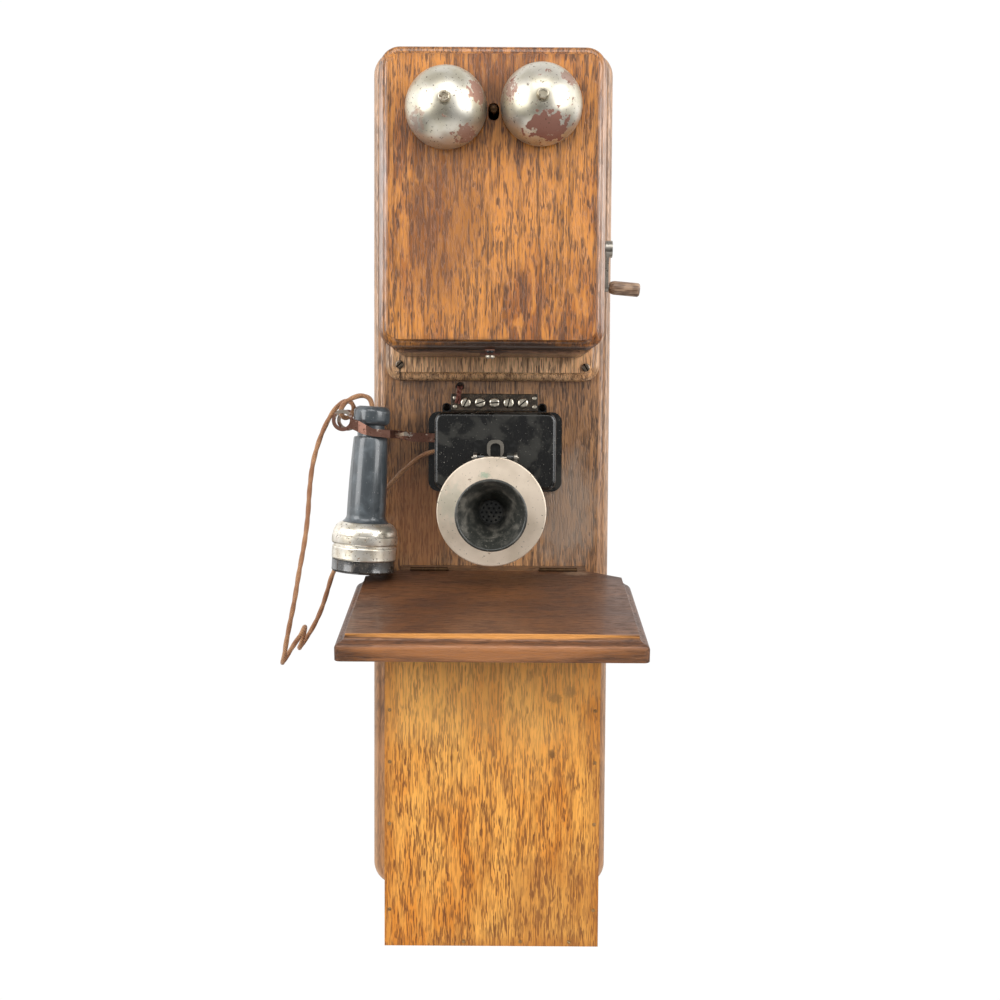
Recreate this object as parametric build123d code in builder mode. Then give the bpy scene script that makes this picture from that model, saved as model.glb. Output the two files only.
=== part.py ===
"""Two-box magneto wall telephone: oak backboard, magneto box with gongs, transmitter case and battery box.

X runs across the board, Y into the wall, Z up. The origin is the middle of the backboard's back face,
which lies on the wall. "Out" distances are measured from the wall towards the room, so a point that is
40 out lies at y = -40.
"""
from math import cos, pi, radians, sin, tan

from build123d import *
import os

os.makedirs("parts", exist_ok=True)

# ---- fits and clearances ----
door_gap = 0.4            # between the magneto box and its door
lid_gap = 0.3             # between the battery box and the shelf that lids it
running_fit = 0.06        # radial, shafts and hinge pins
loose_fit = 0.3           # radial, screws in plain holes
slide_gap = 0.4           # side clearance of parts that pass each other

# ---- backboard ----
board_width = 229.0
board_height = 816.0
board_thickness = 19.0
board_corner = 23.0
board_lip = 11.0          # width of the ogee seen from the front
board_rise = 9.5          # depth of the ogee
wall_hole_radius = 2.75
wall_hole_x = 60.0
wall_hole_z = 350.0

# ---- magneto box ----
box_x = 0.6               # boxes sit a little off the board's centre line
plate_width = 205.0
plate_height = 307.0
plate_thickness = 15.0
plate_corner = 15.0
plate_lip = 8.0
plate_rise = 8.0
plate_bottom = 93.0
box_width = 180.0
box_height = 262.0
box_depth = 88.0
box_wall = 12.0
box_corner = 10.0
box_bottom = 115.2

# ---- door ----
door_width = 197.4
door_height = 260.6
door_thickness = 17.6
door_corner = 18.0
door_lip = 8.0
door_rise = 8.5
door_overlap = 2.8        # the box bottom shows this much below the door
slot_width = 9.5
slot_bottom = 314.0
slot_top = 329.0

# ---- gongs and ringer ----
gong_radius = 35.15
gong_depth = 36.0
gong_wall = 1.6
gong_standoff = 6.0       # rim to door face
gong_left = (-39.7, 323.0)
gong_right = (42.2, 326.0)
gong_boss = 6.0
post_radius = 4.0
stud_radius = 2.5
nut_radius = 5.6
clapper_x = 1.25
clapper_z = 321.5
clapper_ball = 3.5
clapper_rod = 1.2
armature_z = 294.5

# ---- generator ----
crank_z = 212.5
crank_out = 78.0
shaft_radius = 5.0
gear_module = 1.5
gear_teeth = 48
pinion_teeth = 12
magnet_count = 4
handle_radius = 6.3
handle_length = 29.5
handle_droop = 5.0        # degrees that the handle's axis falls away from the box
crank_length = 34.5

# ---- transmitter case ----
case_x = 4.0
case_z = 26.5
flange_width = 129.0
flange_height = 77.0
flange_thickness = 3.0
flange_corner = 10.0
cover_round = 4.0
cover_width = 114.0
cover_height = 73.0
cover_depth = 42.0
cover_wall = 1.6
cover_corner = 9.0
strip_width = 83.6
strip_height = 16.8
strip_thickness = 6.0
terminal_pitch = 13.8
terminal_count = 5

# ---- hook and receiver ----
hook_thickness = 2.2
hook_pivot = (-30.0, 38.0)
hook_out = 44.0
receiver_out = 62.0
receiver_foot = (-120.2, -87.4)
receiver_lean = 3.4
neck_radius = 12.6
prong_offset = 15.8       # from the receiver's axis to the middle of a prong
fork_flare = 3.8          # how much further out each prong's tip stands
ring_centre = (-136.6, 54.6)
ring_radius = 10.0
ring_hole = 6.6

# ---- transmitter ----
pivot_out = 76.0
pivot_z = 20.5
mouth_x = 1.0
mouth_z = -27.0
cup_radius = 40.0
cup_depth = 32.0
face_out = 108.0
face_radius = 49.8
rim_out = 152.0
rim_radius = 31.75
throat_radius = 11.0

# ---- shelf and battery box ----
shelf_x = 3.0
shelf_slope = 9.3         # degrees
shelf_z = -86.2           # top surface where it meets the backboard
shelf_width = 259.4
shelf_reach = 231.0       # wall to front edge
shelf_thickness = 21.0
shelf_lip = 8.5
shelf_rise = 11.0
rail_depth = 17.0
rail_width = 178.0
battery_x = 3.3
battery_width = 188.4
battery_out = 160.0
battery_side = 12.0
battery_front = 14.0
cell_radius = 31.5
cell_height = 152.0

# ---- screws and nails: (x, z) on the face they hold ----
screw_fit = 0.05          # radial, threads in their pilot holes
plate_screws = [(-88.0, 108.0), (89.9, 106.1), (-88.0, 391.0), (89.9, 391.0)]
case_screws = [(-43.4, 67.5), (49.2, 67.5)]
wood_shank = 1.9
small_screws = [(-35.2, 76.5), (-35.2, 68.2), (41.3, 76.5), (41.3, 68.2)]
small_shank = 1.2
terminal_shank = 2.0
wire_hole = (-30.6, 88.0)
wire_radius = 1.25
side_nail_levels = [-136.0, -197.0, -243.0, -298.0, -375.0]
bottom_nail_xs = [-21.0, 29.0, 72.0]
nail_head = 1.6
nail_shank = 0.9

# ---- cord ----
cord_diameter = 4.8

board_front = board_thickness
plate_front = board_front + plate_thickness
box_front = plate_front + box_depth
door_back = box_front + door_gap
door_face = door_back + door_thickness
box_top = box_bottom + box_height
door_bottom = box_bottom + door_overlap
door_z = door_bottom + door_height / 2
gong_rim = door_face + gong_standoff
gong_crown = gong_rim + gong_depth
box_left = box_x - box_width / 2
box_right = box_x + box_width / 2
inner_left = box_left + box_wall
inner_right = box_right - box_wall


def room(out):
    """Sketch plane facing the room at a distance out from the wall: local x is X, local y is Z."""
    return Plane.XZ.offset(out)


def ogee_cutter(start, outward, normal, lip, rise, quirk=1.3):
    """Profile that moulds an edge: a small step, then a cove that turns over into a round."""
    half = (rise - quirk) / 2
    with BuildSketch(Plane(origin=start, x_dir=outward, z_dir=outward.cross(normal))) as profile:
        with BuildLine():
            Polyline((lip, 3), (-lip, 3), (-lip, -quirk))
            ThreePointArc((-lip, -quirk), (-lip * 0.8, -quirk - half * 0.72), (-lip / 2, -quirk - half))
            ThreePointArc((-lip / 2, -quirk - half), (-lip * 0.2, -rise + half * 0.72), (0, -rise))
            Polyline((0, -rise), (lip, -rise), (lip, 3))
        make_face()
    return profile.sketch


def moulded_board(width, height, thickness, corner, centre, out, lip, rise):
    """Upright board with rounded corners and an ogee all round its front."""
    with BuildPart() as blank:
        with BuildSketch(room(out)):
            with Locations(centre):
                RectangleRounded(width, height, corner)
        extrude(amount=thickness)
    rim = blank.faces().sort_by(Axis.Y)[0].outer_wire()
    start = rim @ 0
    outward = (rim % 0).cross(Vector(0, 1, 0))
    if outward.dot(start - Vector(centre[0], start.Y, centre[1])) < 0:
        outward = outward * -1
    cutter = ogee_cutter(start, outward, Vector(0, -1, 0), lip, rise)
    with BuildPart() as board:
        add(blank.part)
        sweep(cutter, path=rim, mode=Mode.SUBTRACT)
    return board.part


def face_spot(x, z, out, turn=0.0):
    """Location on a face that looks into the room, its local Z pointing at the room."""
    return Location(Plane(origin=(x, -out, z), x_dir=(cos(radians(turn)), 0, sin(radians(turn))),
                          z_dir=(0, -1, 0)))


def round_head(radius, height, slot, shank, length):
    """Round-headed slotted screw, its seat at the origin and its head up +Z."""
    with BuildPart() as screw:
        Cylinder(radius, height, align=(Align.CENTER, Align.CENTER, Align.MIN))
        fillet(screw.edges().group_by(Axis.Z)[-1], height * 0.7)
        with Locations((0, 0, height)):
            Box(radius * 2.2, slot, height * 0.9, mode=Mode.SUBTRACT)
        Cylinder(shank, length, align=(Align.CENTER, Align.CENTER, Align.MAX))
    return screw.part


def turned(plane, profile):
    """Solid of revolution about the plane's local Y from a closed run of lines and three-point arcs."""
    with BuildPart() as piece:
        with BuildSketch(plane):
            with BuildLine():
                for start, *rest in profile:
                    if len(rest) == 2:
                        ThreePointArc(start, rest[0], rest[1])
                    else:
                        Line(start, rest[0])
            make_face()
        revolve(axis=Axis(plane.origin, plane.y_dir))
    return piece.part


def outline(*stations):
    """Closed run of lines through the stations; a station that is a list is the middle point of an arc."""
    runs = []
    points = list(stations) + [stations[0]]
    last = points[0]
    bend = None
    for point in points[1:]:
        if isinstance(point, list):
            bend = tuple(point)
        elif bend is None:
            runs.append((last, point))
            last = point
        else:
            runs.append((last, bend, point))
            last, bend = point, None
    return runs


def link(*rounds):
    """Flat strap: the hull of discs given as (x, y, radius)."""
    with BuildSketch() as discs:
        for x, y, radius in rounds:
            with Locations((x, y)):
                Circle(radius)
        make_hull(discs.sketch.edges())
    return discs.sketch


def ribbon(points, thickness):
    """Bent strip seen edge-on: a line through the points, thickened evenly to both sides."""
    sides = []
    for number, point in enumerate(points):
        before = Vector(*points[max(number - 1, 0)])
        after = Vector(*points[min(number + 1, len(points) - 1)])
        here = Vector(*point)
        runs = [run.normalized() for run in (here - before, after - here) if run.length > 0]
        normals = [Vector(-run.Y, run.X) for run in runs]
        middle = (normals[0] + normals[-1]).normalized()
        sides.append((here, middle * (thickness / 2 / middle.dot(normals[0]))))
    with BuildSketch() as strip:
        with BuildLine():
            Polyline(*[here + side for here, side in sides],
                     *[here - side for here, side in reversed(sides)],
                     close=True)
        make_face()
    return strip.sketch


def rounded_route(points, limit=1000.0):
    """Path of straight runs joined by tangent arcs as large as the runs allow; returns it with its radii."""
    radii = []
    for before, here, after in zip(points, points[1:], points[2:]):
        arriving = Vector(*here) - Vector(*before)
        leaving = Vector(*after) - Vector(*here)
        turn = radians(arriving.get_angle(leaving))
        radii.append(min(limit, 0.45 * min(arriving.length, leaving.length) / tan(turn / 2)))
    with BuildLine() as route:
        FilletPolyline(*points, radius=radii)
    return route.wire(), radii


# ---------------------------------------------------------------- woodwork
strip_x = case_x - 1.2
strip_z = 72.35
terminal_z = 72.1
terminal_spots = [(-24.9 + number * terminal_pitch, terminal_z) for number in range(terminal_count)]
board_blank = moulded_board(board_width, board_height, board_thickness, board_corner, (0, 0), 0,
                            board_lip, board_rise)
with BuildPart() as backboard:
    add(board_blank)
    with BuildSketch(room(0)):
        with GridLocations(2 * wall_hole_x, 2 * wall_hole_z, 2, 2):
            Circle(wall_hole_radius)
    extrude(amount=board_thickness, mode=Mode.SUBTRACT)
    for spots, radius, depth in ((plate_screws + case_screws, wood_shank, 14),
                                 (terminal_spots, terminal_shank, 10),
                                 (small_screws, small_shank, 6), ([wire_hole], 3.2 * wire_radius, 9)):
        with BuildSketch(room(board_front - depth)):
            with Locations(*spots):
                Circle(radius + screw_fit)
        extrude(amount=depth, mode=Mode.SUBTRACT)
backboard.part.label = "backboard"
export_step(backboard.part, "parts/backboard.step")

plate_z = plate_bottom + plate_height / 2
plate_blank = moulded_board(plate_width, plate_height, plate_thickness, plate_corner, (box_x, plate_z),
                            board_front, plate_lip, plate_rise)
with BuildPart() as backplate:
    add(plate_blank)
    with BuildSketch(room(board_front)):
        with Locations((-wall_hole_x, wall_hole_z), (wall_hole_x, wall_hole_z)):
            Circle(wall_hole_radius)
        with Locations(*plate_screws):
            Circle(wood_shank + loose_fit)
    extrude(amount=plate_thickness, mode=Mode.SUBTRACT)
backplate.part.label = "backplate"
export_step(backplate.part, "parts/backplate.step")

bushing_sleeve = shaft_radius + 3
with BuildPart() as box_left_side:
    with BuildSketch(room(plate_front)):
        with Locations((box_left + box_wall / 2, box_bottom + box_height / 2)):
            Rectangle(box_wall, box_height)
    extrude(amount=box_depth)
    fillet(box_left_side.edges().filter_by(Axis.Y).group_by(Axis.X)[0], box_corner)
box_left_side.part.label = "box_left_side"
export_step(box_left_side.part, "parts/box_left_side.step")

with BuildPart() as box_right_side:
    with BuildSketch(room(plate_front)):
        with Locations((box_right - box_wall / 2, box_bottom + box_height / 2)):
            Rectangle(box_wall, box_height)
    extrude(amount=box_depth)
    fillet(box_right_side.edges().filter_by(Axis.Y).group_by(Axis.X)[-1], box_corner)
    with BuildSketch(Plane.YZ.offset(inner_right)):
        with Locations((-crank_out, crank_z)):
            Circle(bushing_sleeve)
    extrude(amount=box_wall, mode=Mode.SUBTRACT)
box_right_side.part.label = "box_right_side"
export_step(box_right_side.part, "parts/box_right_side.step")

with BuildPart() as box_roof:
    with BuildSketch(room(plate_front)):
        with Locations((box_x, box_top - box_wall / 2)):
            Rectangle(inner_right - inner_left, box_wall)
    extrude(amount=box_depth)
box_roof.part.label = "box_top"
export_step(box_roof.part, "parts/box_top.step")

# lock screw: passes up through the fork of the door's lock tab into the box bottom
lock_x = box_x - 1.5
lock_out = box_front - 8
lock_shank = 1.6
tab_thickness = 1.3
tab_top = box_bottom - slide_gap
tab_bottom = tab_top - tab_thickness
with BuildPart() as box_floor:
    with BuildSketch(room(plate_front)):
        with Locations((box_x, box_bottom + box_wall / 2)):
            Rectangle(inner_right - inner_left, box_wall)
    extrude(amount=box_depth)
    with BuildSketch(Plane.XY.offset(box_bottom)):
        with Locations((lock_x, -lock_out)):
            Circle(lock_shank + loose_fit)
    extrude(amount=box_wall - 1, mode=Mode.SUBTRACT)
box_floor.part.label = "box_bottom"
export_step(box_floor.part, "parts/box_bottom.step")

# ---------------------------------------------------------------- door and its hinges
hinge_barrel = 2.6
hinge_pin = 1.0
hinge_x = box_left - hinge_barrel - 2.0
hinge_out = door_back - hinge_barrel - 1.4
leaf_height = 40.0
leaf_thickness = 1.2
leaf_reach = 19.0
hinge_levels = (door_bottom + 45, door_bottom + door_height - 45)
knuckle = leaf_height / 3

post_base = 8.0
door_blank = moulded_board(door_width, door_height, door_thickness, door_corner, (box_x, door_z), door_back,
                           door_lip, door_rise)
with BuildPart() as door:
    add(door_blank)
    with BuildSketch(room(door_back)):
        with Locations((clapper_x, (slot_bottom + slot_top) / 2)):
            SlotOverall(slot_top - slot_bottom, slot_width, rotation=90)
    extrude(amount=door_thickness, mode=Mode.SUBTRACT)
    with BuildSketch(room(door_back)):
        with Locations(*[(hinge_x + leaf_reach / 2 - 0.2, level) for level in hinge_levels]):
            Rectangle(leaf_reach + 2.4, leaf_height + 0.4)
    extrude(amount=leaf_thickness + 0.1, mode=Mode.SUBTRACT)
door.part.label = "door"
export_step(door.part, "parts/door.step")

with BuildPart() as door_hinge_leaves:
    for level in hinge_levels:
        with BuildSketch(room(door_back)):
            with Locations((hinge_x + leaf_reach / 2 - leaf_thickness / 2, level)):
                Rectangle(leaf_reach + leaf_thickness, leaf_height)
        extrude(amount=leaf_thickness)
        with BuildSketch(room(hinge_out)):
            with Locations((hinge_x - leaf_thickness / 2, level)):
                Rectangle(leaf_thickness, knuckle - 0.6)
        extrude(amount=door_back - hinge_out)
        with Locations((hinge_x, -hinge_out, level)):
            Cylinder(hinge_barrel, knuckle - 0.6)
            Cylinder(hinge_pin + running_fit, knuckle, mode=Mode.SUBTRACT)
door_hinge_leaves.part.label = "door_hinge_leaves"
export_step(door_hinge_leaves.part, "parts/door_hinge_leaves.step")

# ---------------------------------------------------------------- shelf frame of reference
slope = radians(shelf_slope)


def shelf_surface(out):
    """Height of the shelf's top face at a distance from the wall."""
    return shelf_z - (out - board_front) * tan(slope)


shelf_plane = Plane(origin=(shelf_x, -board_front, shelf_z), x_dir=(1, 0, 0),
                    z_dir=(0, -sin(slope), cos(slope)))
underside_drop = (shelf_thickness + lid_gap) / cos(slope)
lid_start = rail_depth + 0.6
lid_end = (shelf_reach - board_front) / cos(slope)
shelf_barrel = 2.4
shelf_pin = 1.0
shelf_axis = (rail_depth + lid_start) / 2          # along the slope from the backboard
shelf_axis_rise = 0.6                              # hinge axis above the top face
shelf_leaf_height = 15.0
shelf_hinge_xs = (-62.0, 62.0)
shelf_leaf_length = 36.0
shelf_knuckle = shelf_leaf_length / 3
shelf_leaf = 1.0

with BuildPart() as fixed_hinge_leaves:
    for level in hinge_levels:
        with BuildSketch(Plane.XY.offset(level - leaf_height / 2)):
            with Locations((box_left - leaf_thickness / 2, -hinge_out + 11.4)):
                Rectangle(leaf_thickness, 24.0)
        extrude(amount=leaf_height)
        for end in (-1, 1):
            with BuildSketch(room(hinge_out - leaf_thickness / 2)):
                with Locations(((hinge_x + box_left) / 2, level + end * knuckle)):
                    Rectangle(box_left - hinge_x, knuckle)
            extrude(amount=leaf_thickness)
            with Locations((hinge_x, -hinge_out, level + end * knuckle)):
                Cylinder(hinge_barrel, knuckle)
                Cylinder(hinge_pin, knuckle, mode=Mode.SUBTRACT)
    for shelf_hinge in shelf_hinge_xs:
        with Locations(shelf_plane):
            with Locations((shelf_hinge, -rail_depth + shelf_leaf / 2,
                            -(shelf_leaf_height + shelf_barrel) / 2)):
                Box(shelf_leaf_length, shelf_leaf, shelf_leaf_height - shelf_barrel)
            with Locations(*[(shelf_hinge + end * shelf_knuckle, -rail_depth + shelf_leaf / 2,
                              -shelf_barrel / 2)
                             for end in (-1, 1)]):
                Box(shelf_knuckle, shelf_leaf, shelf_barrel)
            with Locations(*[(shelf_hinge + end * shelf_knuckle, -shelf_axis, shelf_axis_rise)
                             for end in (-1, 1)]):
                Cylinder(shelf_barrel, shelf_knuckle, rotation=(0, 90, 0))
                Cylinder(shelf_pin, shelf_knuckle, rotation=(0, 90, 0), mode=Mode.SUBTRACT)
fixed_hinge_leaves.part.label = "fixed_hinge_leaves"
export_step(fixed_hinge_leaves.part, "parts/fixed_hinge_leaves.step")

with BuildPart() as hinge_pins:
    with Locations(*[(hinge_x, -hinge_out, level) for level in hinge_levels]):
        Cylinder(hinge_pin, leaf_height + 1)
    with Locations(shelf_plane):
        with Locations(*[(shelf_hinge, -shelf_axis, shelf_axis_rise) for shelf_hinge in shelf_hinge_xs]):
            Cylinder(shelf_pin, shelf_leaf_length + 1, rotation=(0, 90, 0))
hinge_pins.part.label = "hinge_pins"
export_step(hinge_pins.part, "parts/hinge_pins.step")

# ---------------------------------------------------------------- door lock: a forked tab and its screw
tab_width = 17.6
tab_neck = 8.5
fork_gap = 2 * lock_shank + 3.2
tab_back = lock_out - 7.0
tab_front = box_front + 0.9
tab_tip = tab_front + 14.0
tab_screw_out = tab_front + 8.5
with BuildPart() as door_lock_tab:
    with BuildSketch(Plane.XY.offset(tab_bottom)):
        with Locations((lock_x, -(tab_back + tab_front) / 2)):
            Rectangle(tab_width, tab_front - tab_back)
        with Locations((lock_x, -(tab_front + 0.6))):
            Rectangle(tab_neck, 2 * tab_thickness)
        with Locations((lock_x, -(tab_back + lock_out + fork_gap / 2) / 2)):
            Rectangle(fork_gap, lock_out + fork_gap / 2 - tab_back, mode=Mode.SUBTRACT)
    extrude(amount=tab_thickness)
    with BuildSketch(Plane.XY.offset(tab_bottom)):
        with Locations((lock_x, -(door_back + tab_thickness / 2 + 0.2))):
            Rectangle(tab_neck, tab_thickness)
    extrude(amount=door_bottom - tab_bottom)
    with BuildSketch(Plane.XY.offset(door_bottom - tab_thickness)):
        with Locations((lock_x, -(door_back + 0.2 + tab_tip) / 2)):
            Rectangle(tab_neck, tab_tip - door_back - 0.2)
        with Locations((lock_x, -tab_screw_out)):
            Circle(1.5, mode=Mode.SUBTRACT)
    extrude(amount=tab_thickness)
door_lock_tab.part.label = "door_lock_tab"
export_step(door_lock_tab.part, "parts/door_lock_tab.step")

lock_head = 4.2
lock_screw_shape = round_head(lock_head, 2.5, 1.1, lock_shank, box_bottom - tab_bottom + 9)
with BuildPart() as lock_screw:
    with Locations(Location(Plane(origin=(lock_x, -lock_out, tab_bottom - loose_fit), x_dir=(0, 1, 0),
                                  z_dir=(0, 0, -1)))):
        add(lock_screw_shape)
lock_screw.part.label = "lock_screw"
export_step(lock_screw.part, "parts/lock_screw.step")

# ---------------------------------------------------------------- ringer on the back of the door
frame_back = door_back - 3.0
coil_out = door_back - 16.4
coil_x = 17.0
coil_radius = 9.0
yoke_z = 252.0
coil_top = armature_z - 4.0
armature_boss = 3.6
frame_screws = [(clapper_x - 26, 296.0), (clapper_x + 26, 262.0)]
with BuildPart() as ringer_frame:
    with BuildSketch(room(frame_back)):
        with Locations((clapper_x, 275)):
            RectangleRounded(62, 54, 4)
        with Locations(*frame_screws):
            Circle(1.6, mode=Mode.SUBTRACT)
    extrude(amount=door_back - frame_back)
    with BuildSketch(Plane.XY.offset(yoke_z)):
        with Locations((clapper_x, -(frame_back + coil_out - coil_radius) / 2)):
            Rectangle(54, frame_back - coil_out + coil_radius)
    extrude(amount=4)
    with BuildSketch(room(coil_out - 7)):
        with Locations((clapper_x, armature_z)):
            Circle(1.5)
    extrude(amount=frame_back - coil_out + 7)
ringer_frame.part.label = "ringer_frame"
export_step(ringer_frame.part, "parts/ringer_frame.step")

with BuildPart() as ringer_coils:
    with Locations(*[(clapper_x + side * coil_x, -coil_out, yoke_z + 4) for side in (-1, 1)]):
        Cylinder(coil_radius, coil_top - yoke_z - 6, align=(Align.CENTER, Align.CENTER, Align.MIN))
        Cylinder(4, coil_top - yoke_z - 4, align=(Align.CENTER, Align.CENTER, Align.MIN))
ringer_coils.part.label = "ringer_coils"
export_step(ringer_coils.part, "parts/ringer_coils.step")

with BuildPart() as ringer_armature:
    with BuildSketch(room(coil_out - 5)):
        with Locations((clapper_x, armature_z)):
            Rectangle(50, 3)
            Circle(armature_boss)
            Circle(1.5 + running_fit, mode=Mode.SUBTRACT)
    extrude(amount=10)
ringer_armature.part.label = "ringer_armature"
export_step(ringer_armature.part, "parts/ringer_armature.step")

ball_out = gong_rim + 4.0
with BuildPart() as clapper:
    with BuildLine():
        rod_path = FilletPolyline((clapper_x, -coil_out, armature_z + armature_boss),
                                  (clapper_x, -coil_out, clapper_z),
                                  (clapper_x, -ball_out, clapper_z), radius=6)
    with BuildSketch(Plane.XY.offset(armature_z + armature_boss)):
        with Locations((clapper_x, -coil_out)):
            Circle(clapper_rod)
    sweep(path=rod_path)
    with Locations((clapper_x, -ball_out, clapper_z)):
        Sphere(clapper_ball)
clapper.part.label = "clapper"
export_step(clapper.part, "parts/clapper.step")


def gong(centre):
    """Deep cup gong, rim towards the door, flat boss at the crown round its stud hole."""
    hole, depth, wall = stud_radius + loose_fit, gong_depth, gong_wall
    plane = Plane(origin=(centre[0], -gong_rim, centre[1]), x_dir=(1, 0, 0), z_dir=(0, 0, 1))
    shape = turned(plane, outline(
        (hole, -depth), (gong_boss, -depth), [gong_radius * 0.72, -depth * 0.708], (gong_radius, 0),
        (gong_radius - wall, 0), [(gong_radius - wall) * 0.718, -(depth - wall) * 0.705],
        (gong_boss, wall - depth), (hole, wall - depth)))
    return shape


left_shape = gong(gong_left)
right_shape = gong(gong_right)
with BuildPart() as gong_left_cup:
    add(left_shape)
gong_left_cup.part.label = "gong_left"
export_step(gong_left_cup.part, "parts/gong_left.step")

with BuildPart() as gong_right_cup:
    add(right_shape)
gong_right_cup.part.label = "gong_right"
export_step(gong_right_cup.part, "parts/gong_right.step")

crown_inside = gong_crown - gong_wall
nut_flange = 2.4
nut_height = 8.0
stud_end = gong_crown + nut_height - 1.0
with BuildPart() as gong_posts:
    for radius, start, end in ((post_base, door_face, door_face + 2),
                               (post_radius, door_face + 2, crown_inside),
                               (stud_radius, crown_inside, stud_end)):
        with BuildSketch(room(start)):
            with Locations(gong_left, gong_right):
                Circle(radius)
        extrude(amount=end - start)
gong_posts.part.label = "gong_posts"
export_step(gong_posts.part, "parts/gong_posts.step")

with BuildPart() as gong_nuts:
    with Locations(*[face_spot(x, z, gong_crown) for x, z in (gong_left, gong_right)]):
        Cylinder(nut_radius, nut_flange, align=(Align.CENTER, Align.CENTER, Align.MIN))
    with Locations(*[face_spot(x, z, gong_crown + nut_flange, 20) for x, z in (gong_left, gong_right)]):
        Cylinder(nut_radius - 0.9, nut_height - nut_flange, align=(Align.CENTER, Align.CENTER, Align.MIN))
    fillet(gong_nuts.edges().filter_by(GeomType.CIRCLE).group_by(Axis.Y)[0], 0.9)
    with Locations(*[face_spot(x, z, gong_crown) for x, z in (gong_left, gong_right)]):
        Cylinder(stud_radius, nut_height, align=(Align.CENTER, Align.CENTER, Align.MIN), mode=Mode.SUBTRACT)
gong_nuts.part.label = "gong_nuts"
export_step(gong_nuts.part, "parts/gong_nuts.step")

tab_screw = round_head(3.4, 2.0, 0.9, 1.5, tab_thickness)
frame_screw = round_head(3.0, 1.8, 0.8, 1.6, door_back - frame_back)
with BuildPart() as door_screws:
    with Locations(Location(Plane(origin=(lock_x, -tab_screw_out, door_bottom - tab_thickness),
                                  x_dir=(0, 1, 0),
                                  z_dir=(0, 0, -1)))):
        add(tab_screw)
    with Locations(*[Location(Plane(origin=(x, -frame_back, z), x_dir=(1, 0, 0), z_dir=(0, 1, 0)))
                     for x, z in frame_screws]):
        add(frame_screw)
door_screws.part.label = "door_screws"
export_step(door_screws.part, "parts/door_screws.step")

# ---------------------------------------------------------------- hand generator
pinion_z = crank_z - gear_module * (gear_teeth + pinion_teeth) / 2
armature_radius = 16.5
armature_shaft = 3.0
magnet_half = 33.0
magnet_bar = 9.0
shoe_half = magnet_half - magnet_bar
frame_half = 41.0
end_plate = 4.0
generator_floor = box_bottom + box_wall
with BuildPart() as generator_frame:
    with BuildSketch(Plane.XY.offset(generator_floor)):
        with Locations((0, -crank_out)):
            Rectangle(2 * (frame_half + end_plate) + 8, 2 * magnet_half)
    extrude(amount=4)
    for start, top in ((-frame_half - end_plate, pinion_z + 16), (frame_half, crank_z + 12)):
        with BuildSketch(Plane.YZ.offset(start)):
            with Locations((-crank_out, (generator_floor + 4 + top) / 2)):
                Rectangle(30, top - generator_floor - 4)
        extrude(amount=end_plate)
    for side in (-1, 1):
        with BuildSketch(Plane.YZ.offset(-frame_half)):
            with Locations((-crank_out + side * (shoe_half - 5), pinion_z)):
                Rectangle(10, 34)
            with Locations((-crank_out, pinion_z)):
                Circle(armature_radius + 0.5, mode=Mode.SUBTRACT)
        extrude(amount=2 * frame_half)
    with BuildSketch(Plane.YZ.offset(-frame_half - end_plate)):
        with Locations((-crank_out, pinion_z)):
            Circle(armature_shaft + running_fit)
    extrude(amount=2 * (frame_half + end_plate), mode=Mode.SUBTRACT)
    with BuildSketch(Plane.YZ.offset(frame_half)):
        with Locations((-crank_out, crank_z)):
            Circle(shaft_radius + running_fit)
    extrude(amount=end_plate, mode=Mode.SUBTRACT)
generator_frame.part.label = "generator_frame"
export_step(generator_frame.part, "parts/generator_frame.step")

magnet_width = (2 * frame_half - 8) / magnet_count
arch_z = pinion_z + 27
magnet_leg = 43.0
with BuildPart() as generator_magnets:
    with BuildSketch(Plane.YZ.offset(-frame_half + 4)):
        with Locations((-crank_out, arch_z)):
            Circle(magnet_half)
        with Locations((-crank_out, arch_z - magnet_leg / 2)):
            Rectangle(2 * magnet_half, magnet_leg)
        with Locations((-crank_out, arch_z)):
            Circle(shoe_half, mode=Mode.SUBTRACT)
        with Locations((-crank_out, arch_z - magnet_leg / 2)):
            Rectangle(2 * shoe_half, magnet_leg, mode=Mode.SUBTRACT)
    extrude(amount=magnet_width - 1)
    legs = generator_magnets.part
    for bar in range(1, magnet_count):
        with Locations((bar * magnet_width, 0, 0)):
            add(legs)
generator_magnets.part.label = "generator_magnets"
export_step(generator_magnets.part, "parts/generator_magnets.step")

with BuildPart() as generator_armature:
    with BuildSketch(Plane.YZ.offset(-frame_half + 2)):
        with Locations((-crank_out, pinion_z)):
            Circle(armature_radius)
            with Locations((0, armature_radius), (0, -armature_radius)):
                Rectangle(10, 16, mode=Mode.SUBTRACT)
    extrude(amount=2 * frame_half - 4)
    with BuildSketch(Plane.YZ.offset(-frame_half - end_plate - 2)):
        with Locations((-crank_out, pinion_z)):
            Circle(armature_shaft)
    extrude(amount=2 * (frame_half + end_plate) + 14)
generator_armature.part.label = "generator_armature"
export_step(generator_armature.part, "parts/generator_armature.step")


def spur_gear(teeth, thickness, bore, start, z, turn):
    """Spur gear about an axis along X, with narrow straight-flanked teeth so that a pair turns freely."""
    pitch_radius = gear_module * teeth / 2
    root = pitch_radius - 1.15 * gear_module
    tip = pitch_radius + 0.85 * gear_module
    pitch = gear_module * pi
    with BuildPart() as gear:
        with BuildSketch(Plane(origin=(start, -crank_out, z), x_dir=(0, 1, 0), z_dir=(1, 0, 0))):
            Circle(root + 0.05)
            with PolarLocations(0, teeth, start_angle=turn):
                Polygon((root - 0.3, -pitch * 0.27), (tip, -pitch * 0.1), (tip, pitch * 0.1),
                        (root - 0.3, pitch * 0.27), align=None)
            Circle(bore, mode=Mode.SUBTRACT)
        extrude(amount=thickness)
    return gear.part


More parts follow.
